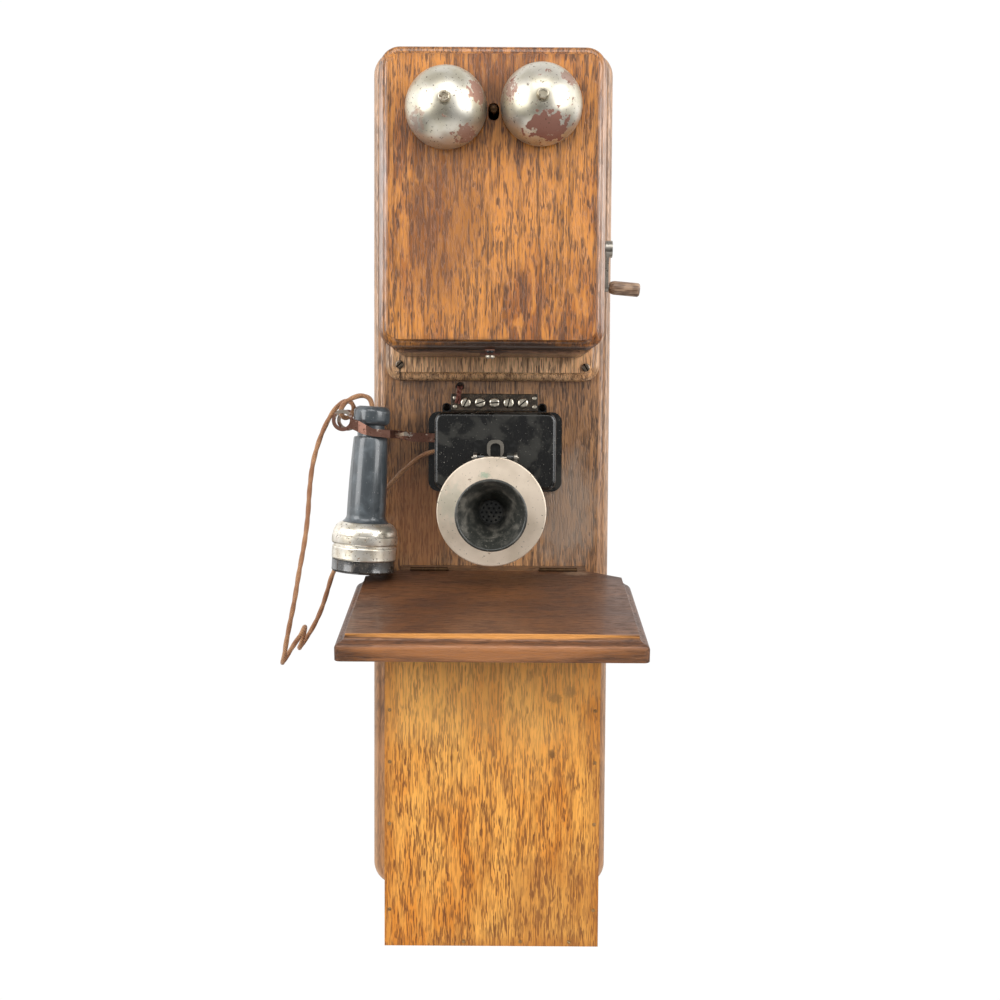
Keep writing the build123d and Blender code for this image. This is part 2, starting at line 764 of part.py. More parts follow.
drive_gear_shape = spur_gear(gear_teeth, 6, shaft_radius, frame_half + end_plate + 1.5, crank_z, 90)
pinion_shape = spur_gear(pinion_teeth, 8, armature_shaft, frame_half + end_plate + 0.5, pinion_z,
                         90 + 180 / pinion_teeth)
with BuildPart() as drive_gear:
    add(drive_gear_shape)
drive_gear.part.label = "drive_gear"
export_step(drive_gear.part, "parts/drive_gear.step")

with BuildPart() as pinion:
    add(pinion_shape)
pinion.part.label = "pinion"
export_step(pinion.part, "parts/pinion.step")

hub_end = box_right + 19.4
with BuildPart() as crank_shaft:
    with BuildSketch(Plane.YZ.offset(frame_half + 0.5)):
        with Locations((-crank_out, crank_z)):
            Circle(shaft_radius)
    extrude(amount=hub_end - frame_half - 0.5)
crank_shaft.part.label = "crank_shaft"
export_step(crank_shaft.part, "parts/crank_shaft.step")

with BuildPart() as crank_bushing:
    for radius, start, end in ((bushing_sleeve, inner_right, box_right), (12.0, box_right, box_right + 3)):
        with BuildSketch(Plane.YZ.offset(start)):
            with Locations((-crank_out, crank_z)):
                Circle(radius)
                Circle(shaft_radius + running_fit, mode=Mode.SUBTRACT)
        extrude(amount=end - start)
crank_bushing.part.label = "crank_bushing"
export_step(crank_bushing.part, "parts/crank_bushing.step")

arm_start = hub_end - 6.4
arm_thickness = 3.0
stud_core = 2.2
droop = radians(handle_droop)
handle_root = (arm_start + arm_thickness - 0.4, -crank_out, crank_z - crank_length)
handle_plane = Plane(origin=handle_root, x_dir=(0, -1, 0), z_dir=(cos(droop), 0, -sin(droop)))
handle_profile = Plane(origin=handle_root, x_dir=(sin(droop), 0, cos(droop)), z_dir=(0, 1, 0))
arm_outline = link((-crank_out, crank_z, 6.6), (-crank_out, crank_z - crank_length, 4.6))
with BuildPart() as crank_arm:
    with BuildSketch(Plane.YZ.offset(arm_start)):
        add(arm_outline)
    extrude(amount=arm_thickness)
    with BuildSketch(Plane.YZ.offset(arm_start)):
        with Locations((-crank_out, crank_z)):
            Circle(7.7)
    extrude(amount=hub_end - arm_start)
    with BuildSketch(Plane.YZ.offset(arm_start)):
        with Locations((-crank_out, crank_z)):
            Circle(shaft_radius)
    extrude(amount=hub_end - arm_start, mode=Mode.SUBTRACT)
    with Locations(handle_plane):
        Cylinder(stud_core, handle_length - 2.4, align=(Align.CENTER, Align.CENTER, Align.MIN))
        with Locations((0, 0, handle_length - 2.4)):
            Cylinder(3.4, 1.8, align=(Align.CENTER, Align.CENTER, Align.MIN))
crank_arm.part.label = "crank_arm"
export_step(crank_arm.part, "parts/crank_arm.step")

bore = stud_core + running_fit
with BuildPart() as crank_handle:
    with BuildSketch(handle_profile):
        with BuildLine():
            Polyline((bore, 0.9), (3.4, 0.9), (handle_radius - 0.6, 6.2))
            ThreePointArc((handle_radius - 0.6, 6.2), (handle_radius, 17),
                          (handle_radius - 0.3, handle_length - 1))
            Polyline((handle_radius - 0.3, handle_length - 1), (handle_radius - 1.3, handle_length),
                     (3.8, handle_length), (3.8, handle_length - 2.8), (bore, handle_length - 2.8), (bore,
                                                                                                     0.9))
        make_face()
    revolve(axis=Axis(handle_root, (cos(droop), 0, -sin(droop))))
crank_handle.part.label = "crank_handle"
export_step(crank_handle.part, "parts/crank_handle.step")

# ---------------------------------------------------------------- transmitter case
flange_x = case_x - 0.3
flange_z = case_z - 1.6
flange_front = board_front + flange_thickness
case_front = flange_front + cover_depth
cover_left = case_x - cover_width / 2
ear_radius = 4.2
slot_low = hook_pivot[1] - 5.0
slot_high = hook_pivot[1] + 14.0
cord_exit = (40.0, 25.5)              # out, z
with BuildPart() as case_base:
    with BuildSketch(room(board_front)):
        with Locations((flange_x, flange_z)):
            RectangleRounded(flange_width, flange_height, flange_corner)
        for x, z in case_screws:
            with Locations((x, z)):
                Circle(ear_radius)
            with Locations((x, z - ear_radius)):
                Rectangle(2 * ear_radius, 2 * ear_radius)
        with Locations(*case_screws):
            Circle(wood_shank + loose_fit, mode=Mode.SUBTRACT)
    extrude(amount=flange_thickness)
case_base.part.label = "case_base"
export_step(case_base.part, "parts/case_base.step")

with BuildPart() as case_cover:
    with BuildSketch(room(flange_front)):
        with Locations((case_x, case_z)):
            RectangleRounded(cover_width, cover_height, cover_corner)
    extrude(amount=cover_depth)
    fillet(case_cover.edges().group_by(Axis.Y)[0], cover_round)
    with BuildSketch(room(flange_front)):
        with Locations((case_x, case_z)):
            RectangleRounded(cover_width - 2 * cover_wall, cover_height - 2 * cover_wall,
                             cover_corner - cover_wall)
    extrude(amount=cover_depth - cover_wall, mode=Mode.SUBTRACT)
    with BuildSketch(Plane.YZ.offset(cover_left - 1)):
        with Locations((-hook_out, (slot_low + slot_high) / 2)):
            Rectangle(hook_thickness + 2 * slide_gap + 1.0, slot_high - slot_low)
        with Locations((-cord_exit[0], cord_exit[1])):
            Circle(cord_diameter / 2 + 0.8)
    extrude(amount=cover_wall + 2, mode=Mode.SUBTRACT)
case_cover.part.label = "case_cover"
export_step(case_cover.part, "parts/case_cover.step")

strip_front = board_front + strip_thickness
with BuildPart() as terminal_strip:
    with BuildSketch(room(board_front)):
        with Locations((strip_x, strip_z)):
            RectangleRounded(strip_width, strip_height, 1.5)
        with Locations(*terminal_spots):
            Circle(terminal_shank + loose_fit, mode=Mode.SUBTRACT)
        with Locations(*small_screws):
            Circle(small_shank + loose_fit, mode=Mode.SUBTRACT)
    extrude(amount=strip_thickness)
    chamfer(terminal_strip.edges().group_by(Axis.Y)[0].filter_by(GeomType.LINE), 0.8)
terminal_strip.part.label = "terminal_strip"
export_step(terminal_strip.part, "parts/terminal_strip.step")

terminal_head = 5.1
terminal_turns = (62, 18, 2, 75, 40)
terminal_screw = round_head(terminal_head, 2.6, 1.2, terminal_shank, strip_thickness + 9)
small_screw = round_head(2.0, 1.2, 0.6, small_shank, strip_thickness + 5)
with BuildPart() as terminal_screws:
    for (x, z), turn in zip(terminal_spots, terminal_turns):
        with Locations(face_spot(x, z, strip_front, turn)):
            add(terminal_screw)
    with Locations(*[face_spot(x, z, strip_front, 30) for x, z in small_screws]):
        add(small_screw)
terminal_screws.part.label = "terminal_screws"
export_step(terminal_screws.part, "parts/terminal_screws.step")

plate_screw = round_head(4.0, 2.0, 1.1, wood_shank, plate_thickness + 13)
case_screw = round_head(3.5, 2.0, 1.0, wood_shank, flange_thickness + 13)
with BuildPart() as wood_screws:
    for (x, z), turn in zip(plate_screws, (40, 120, 20, 75)):
        with Locations(face_spot(x, z, plate_front, turn)):
            add(plate_screw)
    for (x, z), turn in zip(case_screws, (55, 140)):
        with Locations(face_spot(x, z, flange_front, turn)):
            add(case_screw)
wood_screws.part.label = "wood_screws"
export_step(wood_screws.part, "parts/wood_screws.step")

coil_length = 60.0
induction_radius = 11.0
induction_x = 22.0
induction_z = 8.0
with BuildPart() as induction_coil:
    with BuildSketch(Plane.YZ.offset(induction_x - coil_length / 2)):
        with Locations((-(flange_front + induction_radius + 4), induction_z)):
            Circle(induction_radius)
    extrude(amount=coil_length)
    for start in (induction_x - coil_length / 2, induction_x + coil_length / 2 - 4):
        with BuildSketch(Plane.YZ.offset(start)):
            with Locations((-(flange_front + induction_radius + 4), induction_z)):
                Rectangle(2 * induction_radius + 8, 2 * induction_radius + 4)
        extrude(amount=4)
induction_coil.part.label = "induction_coil"
export_step(induction_coil.part, "parts/induction_coil.step")

# ---------------------------------------------------------------- switch hook
pivot_pin = 2.0
pin_end = case_front - cover_wall - 2
with BuildPart() as hook_pivot_pin:
    with BuildSketch(room(flange_front)):
        with Locations(hook_pivot):
            Circle(pivot_pin)
    extrude(amount=pin_end - flange_front)
hook_pivot_pin.part.label = "hook_pivot_pin"
export_step(hook_pivot_pin.part, "parts/hook_pivot_pin.step")

# side view of the lever: (x, z, half height) from its tail to the ring at its end
hook_stations = [(-17.0, 38.0, 3.0), (*hook_pivot, 5.0), (-57.0, 38.4, 4.2), (-75.0, 38.9, 4.2),
                 (-88.0, 41.7, 3.6),
                 (-94.0, 42.2, 3.5), (-110.0, 43.7, 3.5), (-117.0, 46.3, 4.4), (-124.0, 50.0, 4.8)]
trunk_end = -84.0
fork_start = -94.0
fork_end = ring_centre[0] - ring_radius - 1
flare_start = -115.5      # the prongs' tips spread from here, so that the knob passes between the rings
flare_end = -124.5
front_prong = receiver_out + prong_offset
rear_prong = receiver_out - prong_offset
strap_links = [link(a, b) for a, b in zip(hook_stations, hook_stations[1:])]
strap_end = link(hook_stations[-1], (-129.0, 51.8, 4.6))
front_strip = ribbon([(hook_stations[0][0] + 4, -hook_out), (trunk_end, -hook_out),
                      (fork_start, -front_prong),
                      (flare_start, -front_prong), (flare_end, -front_prong - fork_flare),
                      (fork_end, -front_prong - fork_flare)], hook_thickness)
rear_strip = ribbon([(trunk_end - 1, -hook_out), (fork_start, -rear_prong), (flare_start, -rear_prong),
                     (flare_end, -rear_prong + fork_flare), (fork_end, -rear_prong + fork_flare)],
                    hook_thickness)
with BuildPart() as hook_side:
    with BuildSketch(room(hook_out - 6)):
        for strap in strap_links + [strap_end]:
            add(strap)
        with Locations(ring_centre):
            Circle(ring_radius)
            Circle(ring_hole, mode=Mode.SUBTRACT)
    extrude(amount=front_prong - hook_out + 10)
with BuildPart() as hook_lever:
    with BuildSketch(Plane.XY.offset(ring_centre[1] - 40)):
        add(front_strip)
        add(rear_strip)
    extrude(amount=60)
    add(hook_side.part, mode=Mode.INTERSECT)
    with BuildSketch(room(hook_out - 4)):
        with Locations(hook_pivot):
            Circle(5.0)
    extrude(amount=8)
    with BuildSketch(room(hook_out - 6)):
        with Locations(hook_pivot):
            Circle(pivot_pin + running_fit)
    extrude(amount=12, mode=Mode.SUBTRACT)
hook_lever.part.label = "hook_lever"
export_step(hook_lever.part, "parts/hook_lever.step")

blade = 0.8
with BuildPart() as contact_springs:
    with Locations((-17.0, -(flange_front + 14), 20.0)):
        Box(12, 28, 6)
    with Locations(*[(x, -(flange_front + 20), 26.5) for x in (-21.0, -17.0, -13.0)]):
        Box(blade, 14, 9)
contact_springs.part.label = "contact_springs"
export_step(contact_springs.part, "parts/contact_springs.step")

with BuildPart() as hook_spring:
    with Locations((-44.0, -(flange_front + 15), 12.0)):
        Box(8, 30, 6)
    with BuildSketch(room(hook_out - 5)):
        with BuildLine():
            Polyline((-47.5, 15), (-46.3, 15), (-43.6, 29.2), (-37.0, 32.0), (-37.0, 33.0), (-44.4, 30.0),
                     (-47.5, 15))
        make_face()
    extrude(amount=10)
hook_spring.part.label = "hook_spring"
export_step(hook_spring.part, "parts/hook_spring.step")

# ---------------------------------------------------------------- transmitter and its bracket
lug_left = -14.6
lug_right = 23.0
lug_wall = 3.2
tilt_pin = 2.0
bracket_plate = 3.0
bracket_front = case_front + bracket_plate
bracket_x = (lug_left + lug_right) / 2
staple_width = 15.8
staple_height = 16.4
staple_bar = 3.2
with BuildPart() as transmitter_bracket:
    with BuildSketch(room(case_front)):
        with Locations((bracket_x, pivot_z + 3)):
            RectangleRounded(lug_right - lug_left + lug_wall, 27, 4)
    extrude(amount=bracket_plate)
    for x in (lug_left, lug_right):
        with BuildSketch(Plane.YZ.offset(x - lug_wall / 2)):
            with Locations((-(case_front + pivot_out) / 2, pivot_z)):
                Rectangle(pivot_out - case_front, 10)
            with Locations((-pivot_out, pivot_z)):
                Circle(5)
        extrude(amount=lug_wall)
    with BuildSketch(room(bracket_front)):
        with Locations((bracket_x, pivot_z + 0.4 + staple_height / 2)):
            RectangleRounded(staple_width, staple_height, 6)
            with Locations((0, -staple_bar)):
                RectangleRounded(staple_width - 2 * staple_bar, staple_height, 4, mode=Mode.SUBTRACT)
    extrude(amount=3.4)
    with BuildSketch(Plane.YZ.offset(lug_left - lug_wall / 2 - 1.5)):
        with Locations((-pivot_out, pivot_z)):
            Circle(tilt_pin)
    extrude(amount=lug_right - lug_left + lug_wall + 3)
transmitter_bracket.part.label = "transmitter_bracket"
export_step(transmitter_bracket.part, "parts/transmitter_bracket.step")

cup_back = face_out - 2.0 - cup_depth
cup_front = face_out - 2.0
cup_wall = 3.0
with BuildPart() as transmitter_cup:
    with BuildSketch(room(cup_back)):
        with Locations((mouth_x, mouth_z)):
            Circle(cup_radius)
    extrude(amount=cup_depth)
    fillet(transmitter_cup.edges().group_by(Axis.Y)[-1], 9)
    with BuildSketch(room(cup_back + cup_wall)):
        with Locations((mouth_x, mouth_z)):
            Circle(cup_radius - cup_wall - 3)
    extrude(amount=cup_depth - cup_wall, mode=Mode.SUBTRACT)
    for x in (lug_left + lug_wall / 2 + slide_gap, lug_right - lug_wall / 2 - slide_gap - 6):
        with BuildSketch(Plane.YZ.offset(x)):
            with Locations((-pivot_out, pivot_z)):
                Circle(4.5)
            with Locations((-pivot_out - 3, pivot_z - 8)):
                Rectangle(9, 16)
            with Locations((-pivot_out, pivot_z)):
                Circle(tilt_pin + running_fit, mode=Mode.SUBTRACT)
        extrude(amount=6)
transmitter_cup.part.label = "transmitter_cup"
export_step(transmitter_cup.part, "parts/transmitter_cup.step")

with BuildPart() as faceplate:
    with BuildSketch(room(cup_front)):
        with Locations((mouth_x, mouth_z)):
            Circle(face_radius)
            Circle(throat_radius - 1, mode=Mode.SUBTRACT)
    extrude(amount=face_out - cup_front)
    fillet(faceplate.edges().group_by(Axis.Y)[0].filter_by(GeomType.CIRCLE).sort_by(SortBy.RADIUS)[-1], 1.2)
faceplate.part.label = "faceplate"
export_step(faceplate.part, "parts/faceplate.step")

with BuildPart() as transmitter_diaphragm:
    with BuildSketch(room(cup_front - 0.8)):
        with Locations((mouth_x, mouth_z)):
            Circle(30)
    extrude(amount=0.8)
transmitter_diaphragm.part.label = "transmitter_diaphragm"
export_step(transmitter_diaphragm.part, "parts/transmitter_diaphragm.step")

# the horn, in (radius, distance in front of the faceplate)
horn_depth = rim_out - face_out
grille_front = 6.0
horn_plane = Plane(origin=(mouth_x, -face_out, mouth_z), x_dir=(1, 0, 0), z_dir=(0, 0, -1))
horn_shape = turned(horn_plane, outline(
    (throat_radius - 1, 0), (20.0, 0), (19.6, 4.0), [16.8, 9.0], (17.6, 13.0), [22.6, 28.0],
    (rim_radius, horn_depth - 2), [rim_radius - 1.1, horn_depth], (rim_radius - 2.6, horn_depth - 1.6),
    [19.4, 26.0], (13.6, 12.0), [12.4, 9.0], (throat_radius, grille_front), (0, grille_front),
    (0, grille_front - 2), (throat_radius - 1, grille_front - 2)))
with BuildPart() as mouthpiece:
    add(horn_shape)
    with BuildSketch(room(face_out + grille_front - 3)):
        with Locations((mouth_x, mouth_z)):
            Circle(1.0)
            with PolarLocations(4.2, 6):
                Circle(1.0)
            with PolarLocations(8.2, 12):
                Circle(1.0)
    extrude(amount=4, mode=Mode.SUBTRACT)
mouthpiece.part.label = "mouthpiece"
export_step(mouthpiece.part, "parts/mouthpiece.step")

# ---------------------------------------------------------------- shelf, which is the battery box's lid
rail_front = board_front + rail_depth * cos(slope)
with BuildPart() as shelf_rail:
    with BuildSketch(Plane.YZ.offset(shelf_x - rail_width / 2)):
        with BuildLine():
            Polyline((-board_front, shelf_z), (-rail_front, shelf_z - rail_depth * sin(slope)),
                     (-rail_front + shelf_thickness * sin(slope),
                      shelf_z - rail_depth * sin(slope) - shelf_thickness * cos(slope)),
                     (-board_front, shelf_z - shelf_thickness / cos(slope)), close=True)
        make_face()
    extrude(amount=rail_width)
    with Locations(shelf_plane):
        with Locations(*[(x, -rail_depth, -shelf_leaf_height / 2) for x in shelf_hinge_xs]):
            Box(shelf_leaf_length + 0.4, 2 * shelf_leaf, shelf_leaf_height + 0.4, mode=Mode.SUBTRACT)
        with Locations(*[(x, -shelf_axis, shelf_axis_rise) for x in shelf_hinge_xs]):
            Cylinder(shelf_barrel + slide_gap, shelf_leaf_length + 1.4, rotation=(0, 90, 0),
                     mode=Mode.SUBTRACT)
shelf_rail.part.label = "shelf_rail"
export_step(shelf_rail.part, "parts/shelf_rail.step")

corner_depth = 27.0
half_shelf = shelf_width / 2
half_rail = rail_width / 2
normal = shelf_plane.z_dir
uphill = shelf_plane.y_dir


def on_shelf(x, along):
    """Point on the shelf's top face, along the slope from the backboard."""
    return shelf_plane.origin + Vector(x, 0, 0) - uphill * along


left_cutter = ogee_cutter(on_shelf(-half_shelf, lid_end + 10), Vector(-1, 0, 0), normal, shelf_lip,
                          shelf_rise)
right_cutter = ogee_cutter(on_shelf(half_shelf, lid_start), Vector(1, 0, 0), normal, shelf_lip, shelf_rise)
front_cutter = ogee_cutter(on_shelf(half_shelf + 10, lid_end), uphill * -1, normal, shelf_lip, shelf_rise)
with BuildPart() as shelf_lid:
    with BuildSketch(shelf_plane):
        with BuildLine():
            Polyline((-half_rail, -lid_start), (half_rail, -lid_start),
                     (half_shelf, -lid_start - corner_depth),
                     (half_shelf, -lid_end), (-half_shelf, -lid_end), (-half_shelf,
                                                                       -lid_start - corner_depth),
                     close=True)
        make_face()
    extrude(amount=-shelf_thickness)
    fillet(shelf_lid.edges().filter_by(Axis((0, 0, 0), normal)).group_by(Axis.Y)[0], 5)
    for cutter, length in ((left_cutter, lid_end - lid_start + 10),
                           (right_cutter, lid_end - lid_start + 10),
                           (front_cutter, shelf_width + 20)):
        extrude(cutter, amount=length, mode=Mode.SUBTRACT)
    with Locations(shelf_plane):
        with Locations(*[(x, -lid_start, -shelf_leaf_height / 2) for x in shelf_hinge_xs]):
            Box(shelf_leaf_length + 0.4, 2 * shelf_leaf, shelf_leaf_height + 0.4, mode=Mode.SUBTRACT)
        with Locations(*[(x, -shelf_axis, shelf_axis_rise) for x in shelf_hinge_xs]):
            Cylinder(shelf_barrel + slide_gap, shelf_leaf_length + 1.4, rotation=(0, 90, 0),
                     mode=Mode.SUBTRACT)
shelf_lid.part.label = "shelf_lid"
export_step(shelf_lid.part, "parts/shelf_lid.step")

with BuildPart() as shelf_hinge_leaves:
    with Locations(shelf_plane):
        with Locations(*[(x, -lid_start - shelf_leaf / 2, -(shelf_leaf_height + shelf_barrel) / 2)
                         for x in shelf_hinge_xs]):
            Box(shelf_leaf_length, shelf_leaf, shelf_leaf_height - shelf_barrel)
        with Locations(*[(x, -lid_start - shelf_leaf / 2, -shelf_barrel / 2) for x in shelf_hinge_xs]):
            Box(shelf_knuckle - 0.6, shelf_leaf, shelf_barrel)
        with Locations(*[(x, -shelf_axis, shelf_axis_rise) for x in shelf_hinge_xs]):
            Cylinder(shelf_barrel, shelf_knuckle - 0.6, rotation=(0, 90, 0))
            Cylinder(shelf_pin + running_fit, shelf_knuckle, rotation=(0, 90, 0), mode=Mode.SUBTRACT)
shelf_hinge_leaves.part.label = "shelf_hinge_leaves"
export_step(shelf_hinge_leaves.part, "parts/shelf_hinge_leaves.step")

# ---------------------------------------------------------------- battery box
battery_left = battery_x - battery_width / 2
battery_right = battery_x + battery_width / 2
battery_bottom = -board_height / 2
front_back = battery_out - battery_front
nail_inset = 4.4
nail_length = 24.0
side_nails = [(x, z) for x in (battery_left + nail_inset,
                               battery_right - nail_inset) for z in side_nail_levels]
bottom_nails = [(x, battery_bottom + nail_inset) for x in bottom_nail_xs]


def under_lid(out):
    """Height of the battery box's rim below the shelf at a distance from the wall."""
    return shelf_surface(out) - underside_drop


with BuildPart() as battery_box_front:
    with BuildSketch(Plane.YZ.offset(battery_left)):
        with BuildLine():
            Polyline((-front_back, battery_bottom), (-battery_out, battery_bottom),
                     (-battery_out, under_lid(battery_out)), (-front_back,
                                                              under_lid(front_back)), close=True)
        make_face()
    extrude(amount=battery_width)
    with BuildSketch(room(front_back)):
        with Locations(*(side_nails + bottom_nails)):
            Circle(nail_shank + screw_fit)
    extrude(amount=battery_front, mode=Mode.SUBTRACT)
battery_box_front.part.label = "battery_box_front"
export_step(battery_box_front.part, "parts/battery_box_front.step")

with BuildPart() as battery_box_sides:
    for start in (battery_left, battery_right - battery_side):
        with BuildSketch(Plane.YZ.offset(start)):
            with BuildLine():
                Polyline((-board_front, battery_bottom), (-front_back, battery_bottom),
                         (-front_back, under_lid(front_back)), (-board_front,
                                                                under_lid(board_front)), close=True)
            make_face()
        extrude(amount=battery_side)
    with BuildSketch(room(battery_out - nail_length)):
        with Locations(*side_nails):
            Circle(nail_shank + screw_fit)
    extrude(amount=nail_length - battery_front, mode=Mode.SUBTRACT)
battery_box_sides.part.label = "battery_box_sides"
export_step(battery_box_sides.part, "parts/battery_box_sides.step")

with BuildPart() as battery_box_bottom:
    with BuildSketch(Plane.XY.offset(battery_bottom)):
        with Locations((battery_x, -(board_front + front_back) / 2)):
            Rectangle(battery_width - 2 * battery_side, front_back - board_front)
    extrude(amount=battery_side)
    with BuildSketch(room(battery_out - nail_length)):
        with Locations(*bottom_nails):
            Circle(nail_shank + screw_fit)
    extrude(amount=nail_length - battery_front, mode=Mode.SUBTRACT)
battery_box_bottom.part.label = "battery_box_bottom"
export_step(battery_box_bottom.part, "parts/battery_box_bottom.step")

with BuildPart() as box_nails:
    for radius, start, end in ((nail_shank, battery_out - nail_length, battery_out),
                               (nail_head, battery_out, battery_out + 0.5)):
        with BuildSketch(room(start)):
            with Locations(*(side_nails + bottom_nails)):
                Circle(radius)
        extrude(amount=end - start)
box_nails.part.label = "box_nails"
export_step(box_nails.part, "parts/box_nails.step")

cell_pitch = 72.0
cell_out = 60.0
with BuildPart() as dry_cells:
    for side in (-1, 1):
        x = battery_x + side * cell_pitch / 2
        for dx, radius, height in ((0, cell_radius, cell_height), (0, 6.0, cell_height + 8),
                                   (0, 2.5, cell_height + 20),
                                   (24, 2.5, cell_height + 16)):
            with BuildSketch(Plane.XY.offset(battery_bottom + battery_side)):
                with Locations((x + dx, -cell_out)):
                    Circle(radius)
            extrude(amount=height)
dry_cells.part.label = "dry_cells"
export_step(dry_cells.part, "parts/dry_cells.step")

# ---------------------------------------------------------------- receiver, turned about its own axis
lean = radians(receiver_lean)
receiver_plane = Plane(origin=(receiver_foot[0], -receiver_out, receiver_foot[1]),
                       x_dir=(cos(lean), 0, -sin(lean)), z_dir=(0, -1, 0))
cap_height = 11.6
seat = 16.0               # where the diaphragm lies
collar_top = 46.8
shell_bore = 11.0
knob_top = 155.6
bore_top = 148.0
cord_hole = cord_diameter / 2 + 0.2
cap_shape = turned(receiver_plane, outline(
    (6.0, 4.0), (7.0, 1.2), (14.0, 3.4), (22.0, 2.2), (25.5, 0), (28.0, 0), [29.2, 0.9], (29.5, 3.0),
    (29.5, cap_height), (26.8, cap_height), (26.8, seat), (24.0, seat), (24.0, 7.0), (14.0, 7.0), (6.0,
                                                                                                   6.6)))
with BuildPart() as ear_cap:
    add(cap_shape)
ear_cap.part.label = "ear_cap"
export_step(ear_cap.part, "parts/ear_cap.step")

diaphragm_shape = turned(receiver_plane,
                         outline((0, seat), (26.5, seat), (26.5, seat + 0.4), (0, seat + 0.4)))
with BuildPart() as receiver_diaphragm:
    add(diaphragm_shape)
receiver_diaphragm.part.label = "receiver_diaphragm"
export_step(receiver_diaphragm.part, "parts/receiver_diaphragm.step")

collar_shape = turned(receiver_plane, outline(
    (26.9, cap_height + 0.1), (29.2, cap_height + 0.1), [29.8, 12.6], (30.0, 13.6), (30.0, 22.6), [29.7,
                                                                                                   23.8],
    (28.7, 24.4), (28.7, 26.2), [30.2, 26.8], (30.8, 28.0), (30.8, 34.4), (30.0, 35.4), (30.0, 36.4),
    [28.2, 42.0], (21.7, collar_top), (shell_bore + 0.4, collar_top), (shell_bore + 0.4, 42.0), (24.0,
                                                                                                 36.0),
    (25.0, 32.0), (25.0, seat + 0.9), (26.9, seat + 0.9)))
with BuildPart() as receiver_collar:
    add(collar_shape)
receiver_collar.part.label = "receiver_collar"
export_step(receiver_collar.part, "parts/receiver_collar.step")

shell_shape = turned(receiver_plane, outline(
    (shell_bore, collar_top), (21.7, collar_top), [19.2, 49.6], (18.2, 54.0), [17.6, 90.0], (15.9, 125.0),
    (15.2, 126.6), (neck_radius, 127.2), (neck_radius, 137.9), [15.5, 139.4], (17.0, 142.9), (17.0, 149.6),
    [15.2, 153.9], (11.0, knob_top), (cord_hole, knob_top), (cord_hole, bore_top), (shell_bore, bore_top)))
with BuildPart() as receiver_shell:
    add(shell_shape)
receiver_shell.part.label = "receiver_shell"
export_step(receiver_shell.part, "parts/receiver_shell.step")

with BuildPart() as receiver_magnet:
    with BuildSketch(receiver_plane):
        with Locations((0, (seat + 3 + bore_top) / 2)):
            Rectangle(18, bore_top - seat - 3)
        with Locations((0, (seat + 3 + bore_top - 9) / 2 - 0.5)):
            Rectangle(8, bore_top - 9 - seat - 2, mode=Mode.SUBTRACT)
    extrude(amount=4, both=True)
receiver_magnet.part.label = "receiver_magnet"
export_step(receiver_magnet.part, "parts/receiver_magnet.step")

# the cord's route as (x, out, z): out of the case, behind the receiver and down to a fold, up to a second fold and
# down to a third, then up beside the receiver, between the prongs of the hook, and into the top of the receiver
cord_points = [
    (cover_left - 0.3, *cord_exit), (-64, 40, 23), (-75, 38, 14.5), (-89, 34.5, 2), (-103, 31,
                                                                                     -14), (-115, 29, -33),
    (-127, 28, -53), (-140, 27.5, -72), (-152.5, 27.5, -91), (-158.5, 27.5, -112), (-165, 27.5, -132),
    (-173.5, 27.5, -149), (-181.4, 29, -161.1), (-184, 33.7, -165), (-184, 40.3, -165), (-181.4, 45,
                                                                                         -161.1),
    (-178, 45, -146.9), (-176.6, 49.7, -142.4), (-176.6, 56.3, -142.4), (-178, 61, -146.9), (-184.6, 61.6,
                                                                                             -156.2),
    (-192.6, 61, -169.1), (-195, 65.7, -173.2), (-195, 72.3, -173.2), (-192.6, 77, -169.1), (-190.6, 79,
                                                                                             -156),
    (-187, 79, -137), (-182, 78.5, -113), (-178.5, 76, -88), (-174, 71, -62), (-171, 67.5, -36), (-170, 64,
                                                                                                  -10),
    (-167.5, 60, 15), (-161, 55, 39), (-152.5, 51.5, 58), (-143, 50.5, 71), (-133.5, 50.5, 73.5),
    (-129, 50.5, 66.5), (-131.5, 52, 58.5), (-138, 56, 56), (-142, 60.5, 62), (-138, 62, 70.5), (-129.5, 62,
                                                                                                 76),
    (-119.5, 62, 78.5), (-110.65, 62, 73.3), (-111.42, 62, 60.35)]
cord_path, cord_radii = rounded_route([(x, -out, z) for x, out, z in cord_points])
print("cord length", round(cord_path.length, 1), "radii", [round(radius, 1) for radius in cord_radii])
with BuildPart() as receiver_cord:
    with BuildSketch(Plane(origin=cord_path @ 0, z_dir=cord_path % 0)):
        Circle(cord_diameter / 2)
    sweep(path=cord_path)
print("cord volume against section times length",
      round(receiver_cord.part.volume / (pi * cord_diameter ** 2 / 4 * cord_path.length), 4))
receiver_cord.part.label = "receiver_cord"
export_step(receiver_cord.part, "parts/receiver_cord.step")

# ---------------------------------------------------------------- line wires, a twisted pair to the first terminal
twist_radius = wire_radius + 0.4
pair_start = Vector(wire_hole[0], -(board_front - 7), wire_hole[1])
pair_bend = Vector(wire_hole[0], -(board_front + 5.2), wire_hole[1] - 1.5)
beside_head = terminal_spots[0][0] - terminal_head - wire_radius - loose_fit
strand_paths = []
for side, end_x, end_z in ((0, beside_head, 71.0), (180, beside_head - 2.7, 72.0)):
    strand = [pair_start + Vector(twist_radius * cos(radians(side)), 0, twist_radius * sin(radians(side)))]
    for step in range(6):
        angle = radians(side + 80 * step)
        down = pair_bend + Vector(-0.25 * step, -1.4 * min(step, 3), -2.1 * step)
        strand.append(down + Vector(twist_radius * cos(angle), twist_radius * sin(angle), 0))
    strand.append(Vector(end_x, -(strip_front + wire_radius), end_z))
    strand_paths.append(rounded_route(strand, 4.0)[0])
